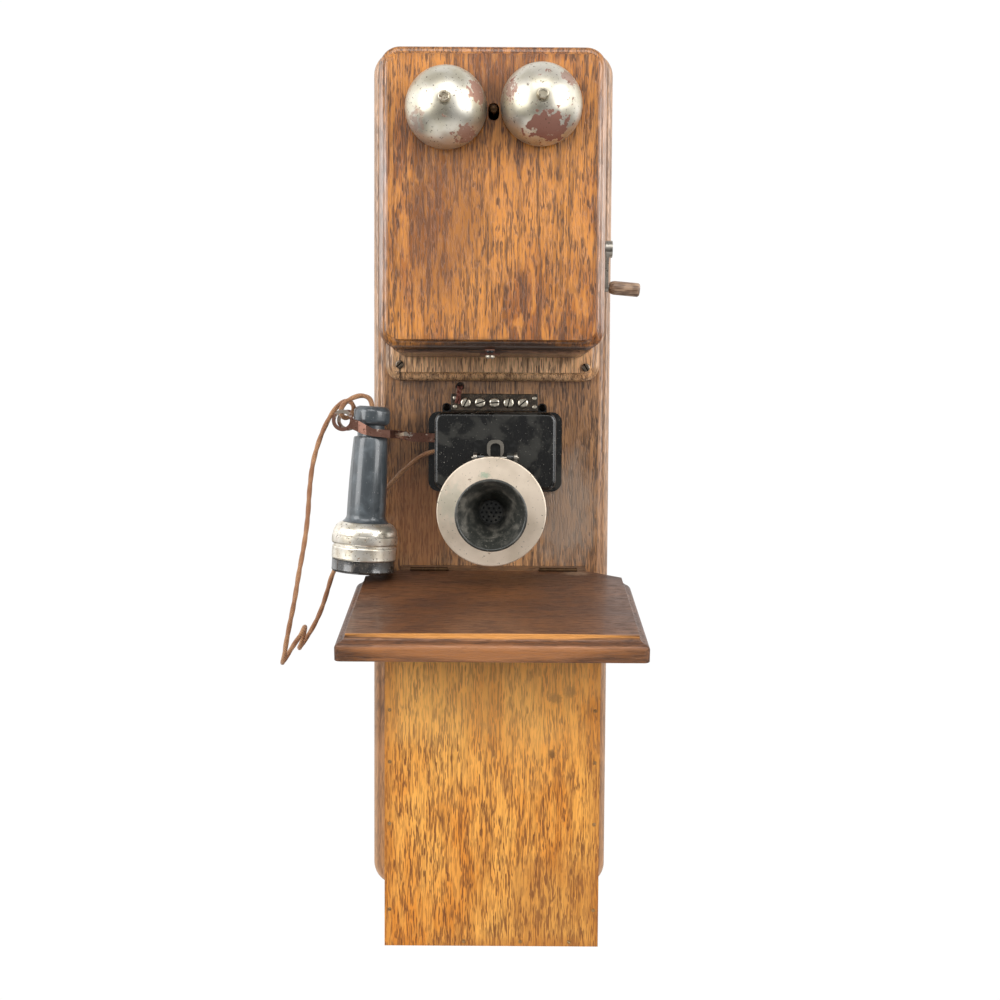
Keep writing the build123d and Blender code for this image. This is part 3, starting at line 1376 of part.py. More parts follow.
with BuildPart() as line_wires:
    for strand_path in strand_paths:
        with BuildSketch(Plane(origin=strand_path @ 0, z_dir=strand_path % 0)):
            Circle(wire_radius)
        sweep(path=strand_path)
line_wires.part.label = "line_wires"
export_step(line_wires.part, "parts/line_wires.step")
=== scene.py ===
# %% [markdown]
# # A magneto wall telephone in oak
#
# This telephone hung on a wall at about head height. A long oak board carries everything:
# a shallow box on top with two bells on its door and a crank for ringing the exchange, a black
# transmitter case in the middle with a horn to speak into, and a box for the dry cells below a
# small sloping writing shelf. The receiver hangs on a hook at the left.
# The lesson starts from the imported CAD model, whose nodes already have the right shape and
# place. It adds the light, the cord, the pieces that need a smoother surface, and the finishes.

# %% Load the frame and keep its box
import math

import bpy
import numpy as np
from mathutils import Matrix, Vector


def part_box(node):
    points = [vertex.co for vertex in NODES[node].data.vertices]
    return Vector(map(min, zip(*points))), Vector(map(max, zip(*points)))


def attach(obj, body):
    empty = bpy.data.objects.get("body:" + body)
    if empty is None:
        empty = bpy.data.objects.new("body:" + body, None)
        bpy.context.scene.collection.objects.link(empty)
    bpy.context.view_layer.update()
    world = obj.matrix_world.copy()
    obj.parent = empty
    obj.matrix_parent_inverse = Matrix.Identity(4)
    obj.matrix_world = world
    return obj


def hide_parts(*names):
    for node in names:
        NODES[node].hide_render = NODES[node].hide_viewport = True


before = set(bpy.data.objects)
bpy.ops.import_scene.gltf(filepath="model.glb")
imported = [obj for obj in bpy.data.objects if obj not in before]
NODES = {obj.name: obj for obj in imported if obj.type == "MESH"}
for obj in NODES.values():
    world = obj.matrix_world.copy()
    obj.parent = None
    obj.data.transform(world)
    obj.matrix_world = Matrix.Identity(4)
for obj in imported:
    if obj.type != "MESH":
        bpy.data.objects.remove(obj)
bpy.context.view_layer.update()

SCENE = bpy.context.scene
MM = 0.001

# %% [markdown]
# ## Camera
#
# A tall narrow thing on a wall is best seen from straight in front, with the eye a little above
# its middle. A longer lens keeps the sides of the board nearly parallel, and standing 1.3 m away
# still lets the shelf and the horn come forward. The camera looks down by a few degrees, so the
# top of the writing shelf shows. Its three directions are written down as one matrix: right, up
# and backwards are its columns.

# %% Camera in front of the board
EYE = Vector((8.73, -1280.8, 61.25)) * MM
LENS_MM, SENSOR_MM = 46.8, 36.0
LOOK_DOWN, LEAN = math.radians(3.78), math.radians(0.352)


def camera_at(place, look_down, lean):
    """A camera matrix: it faces +Y, turned down by look_down, then turned about its own view line by
    lean."""
    ahead = Vector((0, math.cos(look_down), -math.sin(look_down)))
    level_up = Vector((0, math.sin(look_down), math.cos(look_down)))
    level_right = Vector((1, 0, 0))
    right = level_right * math.cos(lean) + level_up * math.sin(lean)
    up = level_up * math.cos(lean) - level_right * math.sin(lean)
    return Matrix.Translation(place) @ Matrix((right, up, -ahead)).transposed().to_4x4()


lens = bpy.data.cameras.new("camera")
lens.lens, lens.sensor_width = LENS_MM, SENSOR_MM
camera = bpy.data.objects.new("camera", lens)
SCENE.collection.objects.link(camera)
camera.matrix_world = camera_at(EYE, LOOK_DOWN, LEAN)
SCENE.camera = camera
print("camera at", [round(v, 3) for v in EYE])

# %% [markdown]
# ## The route of the receiver cord
#
# The cord is a soft cotton flex of two strands. It comes out of a hole in the left end of the
# transmitter case, hangs in a long loop with a small kink where it was once folded, climbs beside
# the receiver and goes into the hole in its top. A spline is the right tool, because a limp cord
# has no straight runs: its control points are where a hand would hold it, and the line between
# them is always smooth. The order and the end rule are set after the points are there.

# %% Cord route as a smooth spline
CORD_DIAMETER = 4.8 * MM
CORD_ROUTE_MM = (
    (-53.3, 40, 25.5), (-64, 40, 23), (-75, 38, 14.5), (-89, 34.5, 2), (-103, 31, -14), (-115, 29, -33),
    (-127, 28, -53), (-140, 27.5, -72), (-152.5, 27.5, -91), (-158.5, 27.5, -112), (-165, 27.5, -132),
    (-173.5, 27.5, -149), (-181.4, 29, -161.1), (-184, 33.7, -165), (-184, 40.3, -165),
    (-181.4, 45, -161.1), (-178, 45, -146.9), (-176.6, 49.7, -142.4), (-176.6, 56.3, -142.4),
    (-178, 61, -146.9), (-184.6, 61.6, -156.2), (-192.6, 61, -169.1), (-195, 65.7, -173.2),
    (-195, 72.3, -173.2), (-192.6, 77, -169.1), (-190.6, 79, -156), (-187, 79, -137), (-182, 78.5, -113),
    (-178.5, 76, -88), (-174, 71, -62), (-171, 67.5, -36), (-170, 64, -10), (-167.5, 60, 15),
    (-161, 55, 39), (-152.5, 51.5, 58), (-143, 50.5, 71), (-133.5, 50.5, 73.5), (-129, 50.5, 66.5),
    (-131.5, 52, 58.5), (-138, 56, 56), (-142, 60.5, 62), (-138, 62, 70.5), (-129.5, 62, 76),
    (-119.5, 62, 78.5), (-110.65, 62, 73.3), (-111.42, 62, 60.35),
)


def spline_line(route):
    """Points along a NURBS spline of order 3 that starts and ends on its first and last control points."""
    curve = bpy.data.curves.new("cord_line", "CURVE")
    curve.dimensions = "3D"
    spline = curve.splines.new("NURBS")
    spline.points.add(len(route) - 1)
    spline.points.foreach_set("co", np.column_stack([route, np.ones(len(route))]).ravel())
    spline.order_u, spline.use_endpoint_u, spline.resolution_u = 3, True, 12
    holder = bpy.data.objects.new("cord_line", curve)
    mesh = bpy.data.meshes.new_from_object(holder)
    line = np.zeros(len(mesh.vertices) * 3)
    mesh.vertices.foreach_get("co", line)
    bpy.data.objects.remove(holder)
    bpy.data.meshes.remove(mesh)
    bpy.data.curves.remove(curve)
    return line.reshape(-1, 3)


# the second number is how far the cord stands out from the wall, which is towards -Y
cord_line = spline_line(np.array(CORD_ROUTE_MM) * (1, -1, 1) * MM)
cord_steps = np.linalg.norm(np.diff(cord_line, axis=0), axis=1)
print("cord points", len(cord_line), "length", round(float(cord_steps.sum()), 4))

# %% [markdown]
# ## Light and floor
#
# Old varnish and worn nickel only come alive under large soft lamps: a big white panel at each
# side of the camera draws a broad highlight down both edges, and a third lamp from above the
# camera fills the front. The air behind the telephone is white, and below the shelf it is darker,
# so undersides stay deep. The floor is where a room's floor is, well below the board.

# %% Studio light
def look_at(place, target):
    """A matrix at place whose -Z points at target and whose Y is as upright as it can be."""
    turn = (Vector(target) - Vector(place)).to_track_quat("-Z", "Y")
    return Matrix.Translation(place) @ turn.to_matrix().to_4x4()


def soft_panel(name, place, target, width, height, watts):
    """One rectangular soft lamp."""
    lamp = bpy.data.lights.new(name, "AREA")
    lamp.shape, lamp.size, lamp.size_y, lamp.energy = "RECTANGLE", width, height, watts
    holder = bpy.data.objects.new(name, lamp)
    SCENE.collection.objects.link(holder)
    holder.matrix_world = look_at(place, target)


MIDDLE = (0, 0, 0)
soft_panel("left_panel", (-1.45, -1.1, 0.6), MIDDLE, 1.0, 1.4, 23)
soft_panel("right_panel", (1.45, -1.1, 0.6), MIDDLE, 1.0, 1.4, 23)
soft_panel("top_panel", (0, -1.6, 1.6), MIDDLE, 1.6, 1.0, 19)
print("lamps", [lamp.name for lamp in bpy.data.lights])

# %% [markdown]
# ## One helper for every node
#
# All finishes below are node trees. Writing each node out takes four lines, so one small function
# makes a node of any kind, gives it its settings, and fills or links its sockets. Colours are
# written the way a paint or web tool shows them, and one function turns them into the linear
# numbers that light is worked out with.

# %% Node and colour helpers
def linear(code):
    """An sRGB hex colour as linear red, green, blue and alpha: c/12.92 up to 0.04045, else
    ((c+0.055)/1.055)^2.4."""
    part = np.array([int(code[i:i + 2], 16) for i in (1, 3, 5)]) / 255
    part = np.where(part <= 0.04045, part / 12.92, ((part + 0.055) / 1.055) ** 2.4)
    return (*part.tolist(), 1.0)


def add(tree, kind, sockets=None, **settings):
    """One node: settings are its own properties; sockets, by name or number, get a value or another node's
    output."""
    node = tree.nodes.new(kind)
    for key, value in settings.items():
        setattr(node, key, value)
    for key, value in (sockets or {}).items():
        if isinstance(value, bpy.types.NodeSocket):
            tree.links.new(value, node.inputs[key])
        else:
            node.inputs[key].default_value = value
    return node


# how bright the air is in front of the wall, below the shelf, beside the board and to the camera
GLOW_FRONT, GLOW_BELOW, GLOW_BESIDE, GLOW_SEEN = 0.42, 0.08, 1.0, 1.02
world = bpy.data.worlds.new("studio")
world.use_nodes = True
SCENE.world = world
air = world.node_tree
air.nodes.clear()
way = add(air, "ShaderNodeSeparateXYZ", {0: add(air, "ShaderNodeTexCoord").outputs["Generated"]})
behind = add(air, "ShaderNodeMapRange", {0: way.outputs["Y"], 1: -0.1, 2: 0.5, 3: GLOW_FRONT, 4: 1.0})
beside = add(air, "ShaderNodeMath", {0: way.outputs["X"]}, operation="ABSOLUTE")
walls = add(air, "ShaderNodeMapRange", {0: beside.outputs[0], 1: 0.6, 2: 0.95, 3: 0.0, 4: GLOW_BESIDE})
around_it = add(air, "ShaderNodeMath", {0: behind.outputs[0], 1: walls.outputs[0]}, operation="ADD")
above = add(air, "ShaderNodeMapRange", {0: way.outputs["Z"], 1: -0.3, 2: 0.05, 3: GLOW_BELOW, 4: 1.0})
glow = add(air, "ShaderNodeMath", {0: around_it.outputs[0], 1: above.outputs[0]}, operation="MULTIPLY")
seen = add(air, "ShaderNodeMix", {0: add(air, "ShaderNodeLightPath").outputs["Is Camera Ray"],
                                  2: glow.outputs[0], 3: GLOW_SEEN})
backdrop = add(air, "ShaderNodeBackground", {0: linear("#ffffff"), 1: seen.outputs[0]})
add(air, "ShaderNodeOutputWorld", {0: backdrop.outputs[0]})
SCENE.view_settings.view_transform = "Standard"

# %% Floor
FLOOR_Z, FLOOR_HALF = -1.25, 1.5
floor_mesh = bpy.data.meshes.new("floor")
floor_mesh.from_pydata([(-FLOOR_HALF, -FLOOR_HALF, FLOOR_Z), (FLOOR_HALF, -FLOOR_HALF, FLOOR_Z),
                        (FLOOR_HALF, FLOOR_HALF, FLOOR_Z), (-FLOOR_HALF, FLOOR_HALF, FLOOR_Z)], [],
                        [(0, 1, 2, 3)])
floor = bpy.data.objects.new("floor", floor_mesh)
SCENE.collection.objects.link(floor)
print("floor", FLOOR_Z)


# %% [markdown]
# ## Starting a finish
#
# Every finish begins with one Principled shader. Its constant values sit directly on its sockets.
# Two small tools serve most of them: a stretched noise, which is what grain, scratches and stains
# are made of, and a soft threshold, which turns that noise into a mask between two finishes.

# %% Shader, noise and mask helpers
def start(name, **constants):
    """A new material with one Principled shader; constants name its sockets with _ for a space."""
    material = bpy.data.materials.new(name)
    material.use_nodes = True
    tree = material.node_tree
    tree.nodes.clear()
    shader = add(tree, "ShaderNodeBsdfPrincipled",
                 {key.replace("_", " "): v for key, v in constants.items()})
    add(tree, "ShaderNodeOutputMaterial", {0: shader.outputs[0]})
    return material, tree, shader


def noise(tree, size_mm, shift=0.0, detail=3.0, distortion=0.0, rough=0.55):
    """Noise on Object coordinates whose features are size_mm (along x, y, z) across; shift picks another
    part."""
    place = add(tree, "ShaderNodeTexCoord").outputs["Object"]
    scale = tuple(1 / (s * MM) for s in size_mm)
    mapped = add(tree, "ShaderNodeMapping", {0: place, 1: (shift, shift * 1.7, shift * 0.6), 3: scale})
    return add(tree, "ShaderNodeTexNoise", {"Vector": mapped.outputs[0], "Scale": 1.0, "Detail": detail,
                                            "Distortion": distortion, "Roughness": rough}).outputs[0]


def mask(tree, value, low, high, bottom=0.0, top=1.0):
    """A smooth step of value from bottom at low to top at high."""
    return add(tree, "ShaderNodeMapRange", {0: value, 1: low, 2: high, 3: bottom, 4: top},
               interpolation_type="SMOOTHSTEP").outputs[0]


def paint(tree, share, under, over):
    """The colour under, with over laid on it by share."""
    colours = {0: share}
    for socket, colour in ((6, under), (7, over)):
        colours[socket] = linear(colour) if isinstance(colour, str) else colour
    return add(tree, "ShaderNodeMix", colours, data_type="RGBA").outputs[2]


def sums(tree, operation, a, b):
    """One sum of two numbers or outputs."""
    return add(tree, "ShaderNodeMath", {0: a, 1: b}, operation=operation).outputs[0]


def spot(tree, centre_mm, size_mm, ragged=0.5, shift=0.0, soft=0.7):
    """A ragged round mask: 1 near centre_mm, fading to 0 about size_mm (half widths along x, y, z) away
    from it."""
    place = add(tree, "ShaderNodeTexCoord").outputs["Object"]
    away = add(tree, "ShaderNodeVectorMath", {0: place, 1: tuple(c * MM for c in centre_mm)},
               operation="SUBTRACT")
    scaled = add(tree, "ShaderNodeVectorMath",
                 {0: away.outputs[0], 1: tuple(1 / (s * MM) for s in size_mm)},
                 operation="MULTIPLY")
    length = add(tree, "ShaderNodeVectorMath", {0: scaled.outputs[0]}, operation="LENGTH").outputs["Value"]
    grit = noise(tree, tuple(s * 0.35 for s in size_mm), shift, 5.0)
    return mask(tree, sums(tree, "ADD", length,
                           sums(tree, "MULTIPLY", sums(tree, "SUBTRACT", grit, 0.5), ragged * 4)),
                0.8 + soft / 2, 0.8 - soft / 2)


def out_from_wall(tree):
    """How far, in metres, a point stands out from the wall."""
    place = add(tree, "ShaderNodeSeparateXYZ", {0: add(tree, "ShaderNodeTexCoord").outputs["Object"]})
    return sums(tree, "MULTIPLY", place.outputs["Y"], -1.0)


def bump(tree, shader, height, depth_mm):
    """Lets a height pattern move the surface's shading by depth_mm."""
    relief = add(tree, "ShaderNodeBump", {"Strength": 1.0, "Distance": depth_mm * MM, "Height": height})
    tree.links.new(relief.outputs[0], shader.inputs["Normal"])


def feed(tree, shader, socket, value):
    """Links a pattern to one of the shader's sockets."""
    tree.links.new(value, shader.inputs[socket])


# %% [markdown]
# ## Varnished oak
#
# Oak shows three things at arm's length: open pores, which are dark streaks a few tenths of a
# millimetre wide and centimetres long; bands a few millimetres wide, where each year's growth had
# more or fewer pores; and on quarter-sawn boards pale flecks, where the saw ran along the wood's
# rays. The boards were fumed or stained, varnished with shellac and rubbed by hands for decades,
# so the colour is uneven. A rim colour is laid near the rims: dirt on most boards, but on the
# backboard a pale painted reflection of the lamps along its moulded edges. Some marks and colours
# are painted light and shade as well: reflections on the door's side mouldings, shade on its
# bottom moulding, a highlight on the shelf's front arris and light on the battery box, and the
# backplate is coloured lighter where the box shades it. Noise stretched along the grain gives
# pores and bands, and shorter fatter noise gives the flecks. Pores are drawn about 1 mm wide,
# because a finer one would not show from where the camera stands.

# %% Oak finish
UPRIGHT, ACROSS = (1, 1, 14), (14, 1, 1)   # how much longer than wide the pores run, along x, y, z
PORE_MM, BAND_MM, FLECK_MM, BLOTCH_MM = 0.9, 3.2, 8.0, 60.0


def grain_size(width_mm, grain, stretch=1.0):
    """Feature sizes along x, y, z for a pattern width_mm wide that runs along the grain."""
    return tuple(width_mm * (g if g == 1 else g * stretch) for g in grain)


def rim_distance(tree, node):
    """How far, in metres, a point is inside the rim of a node's front outline, from the node's own box."""
    low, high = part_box(node)
    middle, half = (low + high) / 2, (high - low) / 2
    place = add(tree, "ShaderNodeTexCoord").outputs["Object"]
    away = add(tree, "ShaderNodeVectorMath", {0: place, 1: tuple(middle)}, operation="SUBTRACT")
    apart = add(tree, "ShaderNodeVectorMath", {0: away.outputs[0]}, operation="ABSOLUTE")
    inside = add(tree, "ShaderNodeVectorMath", {0: tuple(half), 1: apart.outputs[0]}, operation="SUBTRACT")
    sides = add(tree, "ShaderNodeSeparateXYZ", {0: inside.outputs[0]})
    return sums(tree, "MINIMUM", sides.outputs["X"], sides.outputs["Z"])


def oak(name, grain, pore, body, light, shift, fleck=0.3, rim=None, rim_dirt_and_sheen_colour="#3c2819", rim_mm=10.0,
        rim_share=0.6, marks=(), gloss=0.36, band=0.5, pores=0.85, coat=0.5):
    """Oak with its grain along the long number of grain, coloured pore, body and light."""
    material, tree, shader = start(name, Roughness=gloss, IOR=1.5, Coat_Weight=coat, Coat_Roughness=0.14)
    bands = noise(tree, grain_size(BAND_MM, grain, 2.4), shift, 2.0)
    blotch = noise(tree, grain_size(BLOTCH_MM, grain, 0.15), shift + 3.1, 3.0)
    fine = noise(tree, grain_size(PORE_MM, grain), shift + 5.7, 1.0)
    coarse = noise(tree, grain_size(PORE_MM * 1.4, grain, 0.7), shift + 9.2, 1.0)
    rays = noise(tree, grain_size(FLECK_MM, grain, 0.4), shift + 12.4, 3.0, 0.4)
    colour = paint(tree, mask(tree, blotch, 0.36, 0.64), body, light)
    dark_bands = sums(tree, "MULTIPLY", mask(tree, bands, 0.44, 0.62), band)
    colour = paint(tree, dark_bands, colour, pore)
    flecks = sums(tree, "MULTIPLY", mask(tree, rays, 0.5, 0.6), fleck)
    colour = paint(tree, flecks, colour, light)
    streaks = sums(tree, "MAXIMUM", mask(tree, fine, 0.5, 0.62, 0, 0.8),
                   mask(tree, coarse, 0.56, 0.64, 0, 1.0))
    streaks = sums(tree, "MULTIPLY", streaks, mask(tree, flecks, 0.0, 0.5, pores, pores * 0.45))
    colour = paint(tree, streaks, colour, pore)
    # marks: stains and patches, and on some boards painted highlights, painted reflections and painted
    # shade
    for centre, size, share, shade in marks:
        colour = paint(tree, sums(tree, "MULTIPLY", spot(tree, centre, size, 0.3, shift), share), colour,
                       shade)
    # rim colour within rim_mm of the outline: dirt on most boards, a pale painted reflection of the lamps
    # on the backboard's moulded edges
    if rim:
        worn = sums(tree, "MULTIPLY", mask(tree, rim_distance(tree, rim), rim_mm * MM, 0.0, 0.0, rim_share),
                    mask(tree, blotch, 0.3, 0.6, 0.45, 1.0))
        colour = paint(tree, worn, colour, rim_dirt_and_sheen_colour)
    feed(tree, shader, "Base Color", colour)
    feed(tree, shader, "Roughness", mask(tree, streaks, 0.0, 0.9, gloss, gloss + 0.25))
    bump(tree, shader, sums(tree, "MULTIPLY", streaks, -1.0), 0.3)
    return material


def finish(material, *names):
    """Puts one material on these CAD nodes' own material slots."""
    for name in names:
        for place in NODES[name].material_slots:
            place.material = material


# the first colour darkens the door's downward-facing bottom moulding: grime with painted shade; the second
# is the crack in the backplate
GRIME_AND_BOTTOM_SHADE, SPLIT = "#2b1b10", "#120c07"
finish(oak("oak_door", UPRIGHT, "#41230a", "#a0602b", "#cf883f", 2.0, 0.75, "door", "#3f2512", 15, 0.45,
           gloss=0.3,
           # first mark: grime with painted shade along the door's bottom moulding, which faces down
           marks=(((0.6, -134, 118), (112, 30, 9), 1.0, GRIME_AND_BOTTOM_SHADE),
                  # next two marks: pale strips down the side mouldings, painted reflections of the side
                  # lamps
                  ((-98, -131, 250), (8, 12, 140), 0.55, "#e2d6d0"),
                  ((99, -131, 250), (8, 12, 140), 0.5, "#f0d6c4"),
                  ((-40, -140, 230), (38, 20, 90), 0.5, "#6d3f1c"),
                  ((0, -140, 345), (60, 20, 30), 0.4, "#70462a"))), "door")
# the pale rim colour is a painted reflection of the lamps along the backboard's moulded edges
finish(oak("oak_backboard", UPRIGHT, "#3f2b1d", "#9a6c45", "#c08c5c", 7.0, 0.3, "backboard", "#c9a98f", 11,
           0.5,
           marks=(((72, -19, -30), (36, 14, 60), 0.5, "#ab9988"),
                  ((-20, -19, 88), (90, 14, 10), 0.3, "#4a3425"),
                  ((0, -19, -330), (170, 14, 150), 0.7, "#bd8450"),
                  ((-70, -19, -40), (36, 14, 60), 0.5, "#a5683a"))),
       "backboard")
# the backplate's body and light colours are lighter than its wood: painted light where the box and door
# shade it
finish(oak("oak_backplate", UPRIGHT, "#4f3320", "#e0a873", "#fbc792", 11.0, 0.3, "backplate", "#33231a", 9,
           0.5,
           marks=(((-87.5, -34, 106), (0.9, 40, 17), 1.0, SPLIT),)), "backplate")
finish(oak("oak_box", UPRIGHT, "#3f2a1a", "#875b38", "#ab7a50", 15.0, 0.25), "box_left_side",
       "box_right_side")
finish(oak("oak_box_ends", ACROSS, "#382517", "#73503a", "#94694a", 19.0, 0.15), "box_top", "box_bottom")
finish(oak("oak_shelf", ACROSS, "#2f190a", "#54321b", "#6f4526", 23.0, 0.3, gloss=0.42, band=0.3, pores=0.7,
           coat=0.15,
           # first mark: the bright front arris, worn bare oak with a painted highlight along the edge
           marks=(((3, -223, -120), (150, 3.4, 4), 0.95, "#e09a50"),
                  ((3, -230, -134), (150, 5, 12), 0.6, "#b97a48"),
                  ((82, -44, -91), (14, 9, 6), 0.4, "#a2866c"),
                  ((20, -60, -94), (60, 30, 10), 0.45, "#43280f"))),
       "shelf_lid")
finish(oak("oak_rail", ACROSS, "#3a2716", "#6a4a30", "#84603f", 27.0, 0.15), "shelf_rail")
finish(oak("oak_battery_front", UPRIGHT, "#6b3a10", "#dc8a32", "#f5b055", 31.0, 0.4, "battery_box_front",
           "#9c5a20",
           14, 0.5, band=0.3, pores=0.9,
           marks=(((55.6, -160, -236), (3.5, 20, 5), 0.9, "#4f2a0d"),
                  ((58, -160, -186), (7, 20, 5), 0.7, "#5d3414"),
                  ((71, -160, -180), (7, 20, 6), 0.6, "#5d3414"),
                  ((60, -160, -370), (60, 20, 60), 0.35, "#8f5524"),
                  # last mark: the top of the front lightened, painted light where the shelf's shadow falls
                  ((3, -160, -150), (190, 20, 110), 0.3, "#f8bd6c"))),
       "battery_box_front")
finish(oak("oak_battery_sides", UPRIGHT, "#6e4520", "#b57a3c", "#d39a58", 35.0, 0.2), "battery_box_sides",
       "battery_box_bottom")
print("oak finishes", len(bpy.data.materials))

# %% [markdown]
# ## Nickel worn down to copper
#
# The bells, the transmitter's faceplate and the receiver's ferrule are brass or copper coated with
# about a hundredth of a millimetre of nickel. Where it was wiped for decades the coat has gone and
# the pink metal shows; elsewhere damp has left dark pits and a yellowish bloom. It is one metal
# shader whose colour and roughness move between the three by masks. A metal keeps the default
# index of refraction.

# %% Worn nickel and other metals
def worn_metal(name, coat, bloom, bare, pit, shift, size_mm, wear=0.62, gloss=0.3, spots=(), pitted=0.63,
               bare_gloss=0.25, metal=1.0, tints=()):
    """A plated metal: coat and bloom in clouds, worn through to bare where noise and the spots say, with
    pits."""
    material, tree, shader = start(name, Metallic=metal, Roughness=gloss)
    clouds = noise(tree, (size_mm * 2.5,) * 3, shift, 3.0)
    ragged = noise(tree, (size_mm,) * 3, shift + 4.3, 6.0, 0.6, 0.65)
    pits = noise(tree, (2.2,) * 3, shift + 8.9, 3.0)
    colour = paint(tree, mask(tree, clouds, 0.36, 0.66), coat, bloom)
    lost = mask(tree, ragged, wear, wear + 0.03)
    for centre, size, share in spots:
        lost = sums(tree, "MAXIMUM", lost,
                    sums(tree, "MULTIPLY", spot(tree, centre, size, 0.6, shift, 0.12), share))
    colour = paint(tree, lost, colour, bare)
    for centre, size, share, shade in tints:
        colour = paint(tree, sums(tree, "MULTIPLY", spot(tree, centre, size, 0.5, shift), share), colour,
                       shade)
    holes = mask(tree, pits, pitted, pitted + 0.04, 0, 0.85)
    colour = paint(tree, holes, colour, pit)
    feed(tree, shader, "Base Color", colour)
    feed(tree, shader, "Roughness", mask(tree, sums(tree, "MAXIMUM", lost, holes), 0.0, 1.0, gloss,
                                         gloss + bare_gloss))
    bump(tree, shader, sums(tree, "SUBTRACT", 1.0, sums(tree, "MAXIMUM", lost, holes)), 0.06)
    return material


nickel_left = worn_metal("nickel_bell_left", "#dcd7ca", "#c9c2ae", "#a57c6c", "#5a4e40", 1.0, 9.0, 0.64,
                         0.38,
                         pitted=0.635, metal=0.9,
                         spots=(((-14, -165, 331), (9, 18, 13), 0.9), ((-24, -160, 298), (12, 16, 9), 0.85),
                                ((-62, -160, 310), (10, 16, 12), 0.5)))
nickel_right = worn_metal("nickel_bell_right", "#dcd6c9", "#c6bfaa", "#9a7062", "#554839", 5.0, 9.0, 0.62,
                          0.38,
                          pitted=0.635, metal=0.9,
                          spots=(((47, -170, 303), (20, 24, 15), 1.0), ((64, -165, 344), (9, 20, 8), 0.7),
                                 ((17, -160, 332), (7, 20, 12), 0.7)))
nickel_plain = worn_metal("nickel_ferrule", "#f2ede2", "#dcd3c0", "#8f7760", "#4a4034", 9.0, 5.0, 0.63, 0.3,
                          pitted=0.63, metal=0.8)
nickel_nut = worn_metal("nickel_nuts", "#d6cfbe", "#b6ab92", "#6d5848", "#3b3226", 10.0, 7.0, 0.66, 0.34,
                        spots=(((-39.7, -191, 323), (4.4, 2.2, 4.4), 0.9),))
nickel_face = worn_metal("nickel_faceplate", "#e6d6c2", "#cfbfaa", "#a3917e", "#5e564b", 13.0, 14.0, 0.66,
                         0.5,
                         pitted=0.66, metal=0.5, tints=(((-5, -108, 6.3), (5, 6, 3), 0.6, "#8fb096"),
                                                        ((-34, -108, -20), (14, 6, 20), 0.3, "#a8b3a2")))
copper_strap = worn_metal("copper_strap", "#9a7263", "#7d584a", "#cfc3b4", "#3a2a20", 21.0, 6.0, 0.66, 0.36,
                          pitted=0.62, bare_gloss=-0.05,
                          # spots: nickel left on the copper; the narrow one across the fold at x -104 is
                          # also a painted highlight along the bend
                          spots=(((-82, -60, 41), (9, 30, 4), 0.9), ((-104, -60, 50), (3, 40, 6), 0.9),
                                 ((-136, -80, 61), (11, 8, 5), 0.8),
                                 ((-136.6, -44, 54.6), (12, 6, 12), 0.7)))
blued = worn_metal("blued_steel", "#4a4b4c", "#3b3a38", "#6d675d", "#211f1c", 25.0, 5.0, 0.66, 0.36)
bright_brass = worn_metal("aged_brass", "#b08d52", "#957440", "#7c5c34", "#3a2d1c", 29.0, 5.0, 0.66, 0.32)
dark_brass = worn_metal("tarnished_brass", "#5d4732", "#4a3727", "#7c5f3c", "#2a1f15", 30.0, 4.0, 0.66, 0.5)
grey_arm = worn_metal("grey_steel_arm", "#b3aea4", "#938e85", "#6b5d4c", "#34302b", 33.0, 4.0, 0.64, 0.36)
rusty_nail = worn_metal("rusty_nails", "#a98254", "#8a6236", "#cdb58d", "#4a2f18", 34.0, 1.6, 0.6, 0.5,
                        metal=0.5)


SLOT_FLOOR_MM = 0.05   # how closely a point has to lie at the floor of a slot to be painted dark: dirt with painted shade


def screw_finish(name, coat, slot_dirt_and_shade, shift, seat_out_mm, proud_mm, slot_out_mm):
    """Screws with dirt and painted shade in their slots and round their rims: dark up to seat_out_mm from
    the wall, bright proud_mm above that."""
    material, tree, shader = start(name, Metallic=1.0, Roughness=0.32)
    out = out_from_wall(tree)
    # the head is dark below its top and on the slot floor: dirt with painted shade in the slots and round
    # the rims
    clean_and_unshaded = mask(tree, out, seat_out_mm * MM, (seat_out_mm + proud_mm) * MM)
    off_floor = sums(tree, "ABSOLUTE", sums(tree, "SUBTRACT", out, slot_out_mm * MM), 0.0)
    clean_and_unshaded = sums(tree, "MULTIPLY", clean_and_unshaded, mask(tree, off_floor, SLOT_FLOOR_MM * MM, 2 * SLOT_FLOOR_MM * MM))
    patches = mask(tree, noise(tree, (2.5,) * 3, shift, 3.0), 0.5, 0.66, 1.0, 0.55)
    feed(tree, shader, "Base Color", paint(tree, sums(tree, "MULTIPLY", clean_and_unshaded, patches), slot_dirt_and_shade, coat))
    bump(tree, shader, patches, 0.04)
    return material


finish(nickel_left, "gong_left")
finish(nickel_right, "gong_right")
finish(nickel_plain, "receiver_collar", "lock_screw")
finish(nickel_nut, "gong_nuts", "gong_posts")
finish(nickel_face, "faceplate")
finish(screw_finish("terminal_screws_nickel", "#f0e6d2", "#1d1813", 17.0, 25.1, 0.6, 26.43),
       "terminal_screws")
finish(screw_finish("wood_screws_steel", "#8a7c6c", "#1a1613", 18.0, 34.0, 1.6, 35.1), "wood_screws")
finish(copper_strap, "hook_lever", "door_lock_tab")
finish(rusty_nail, "box_nails")
finish(dark_brass, "shelf_hinge_leaves", "fixed_hinge_leaves", "door_hinge_leaves", "hinge_pins", "clapper")
finish(blued, "hook_spring", "hook_pivot_pin", "ringer_frame", "ringer_armature", "generator_magnets",
       "receiver_magnet", "receiver_diaphragm", "transmitter_diaphragm", "generator_armature",
       "door_screws")
finish(bright_brass, "generator_frame", "drive_gear", "pinion", "contact_springs")
finish(grey_arm, "crank_arm", "crank_shaft", "crank_bushing")
print("metals done")

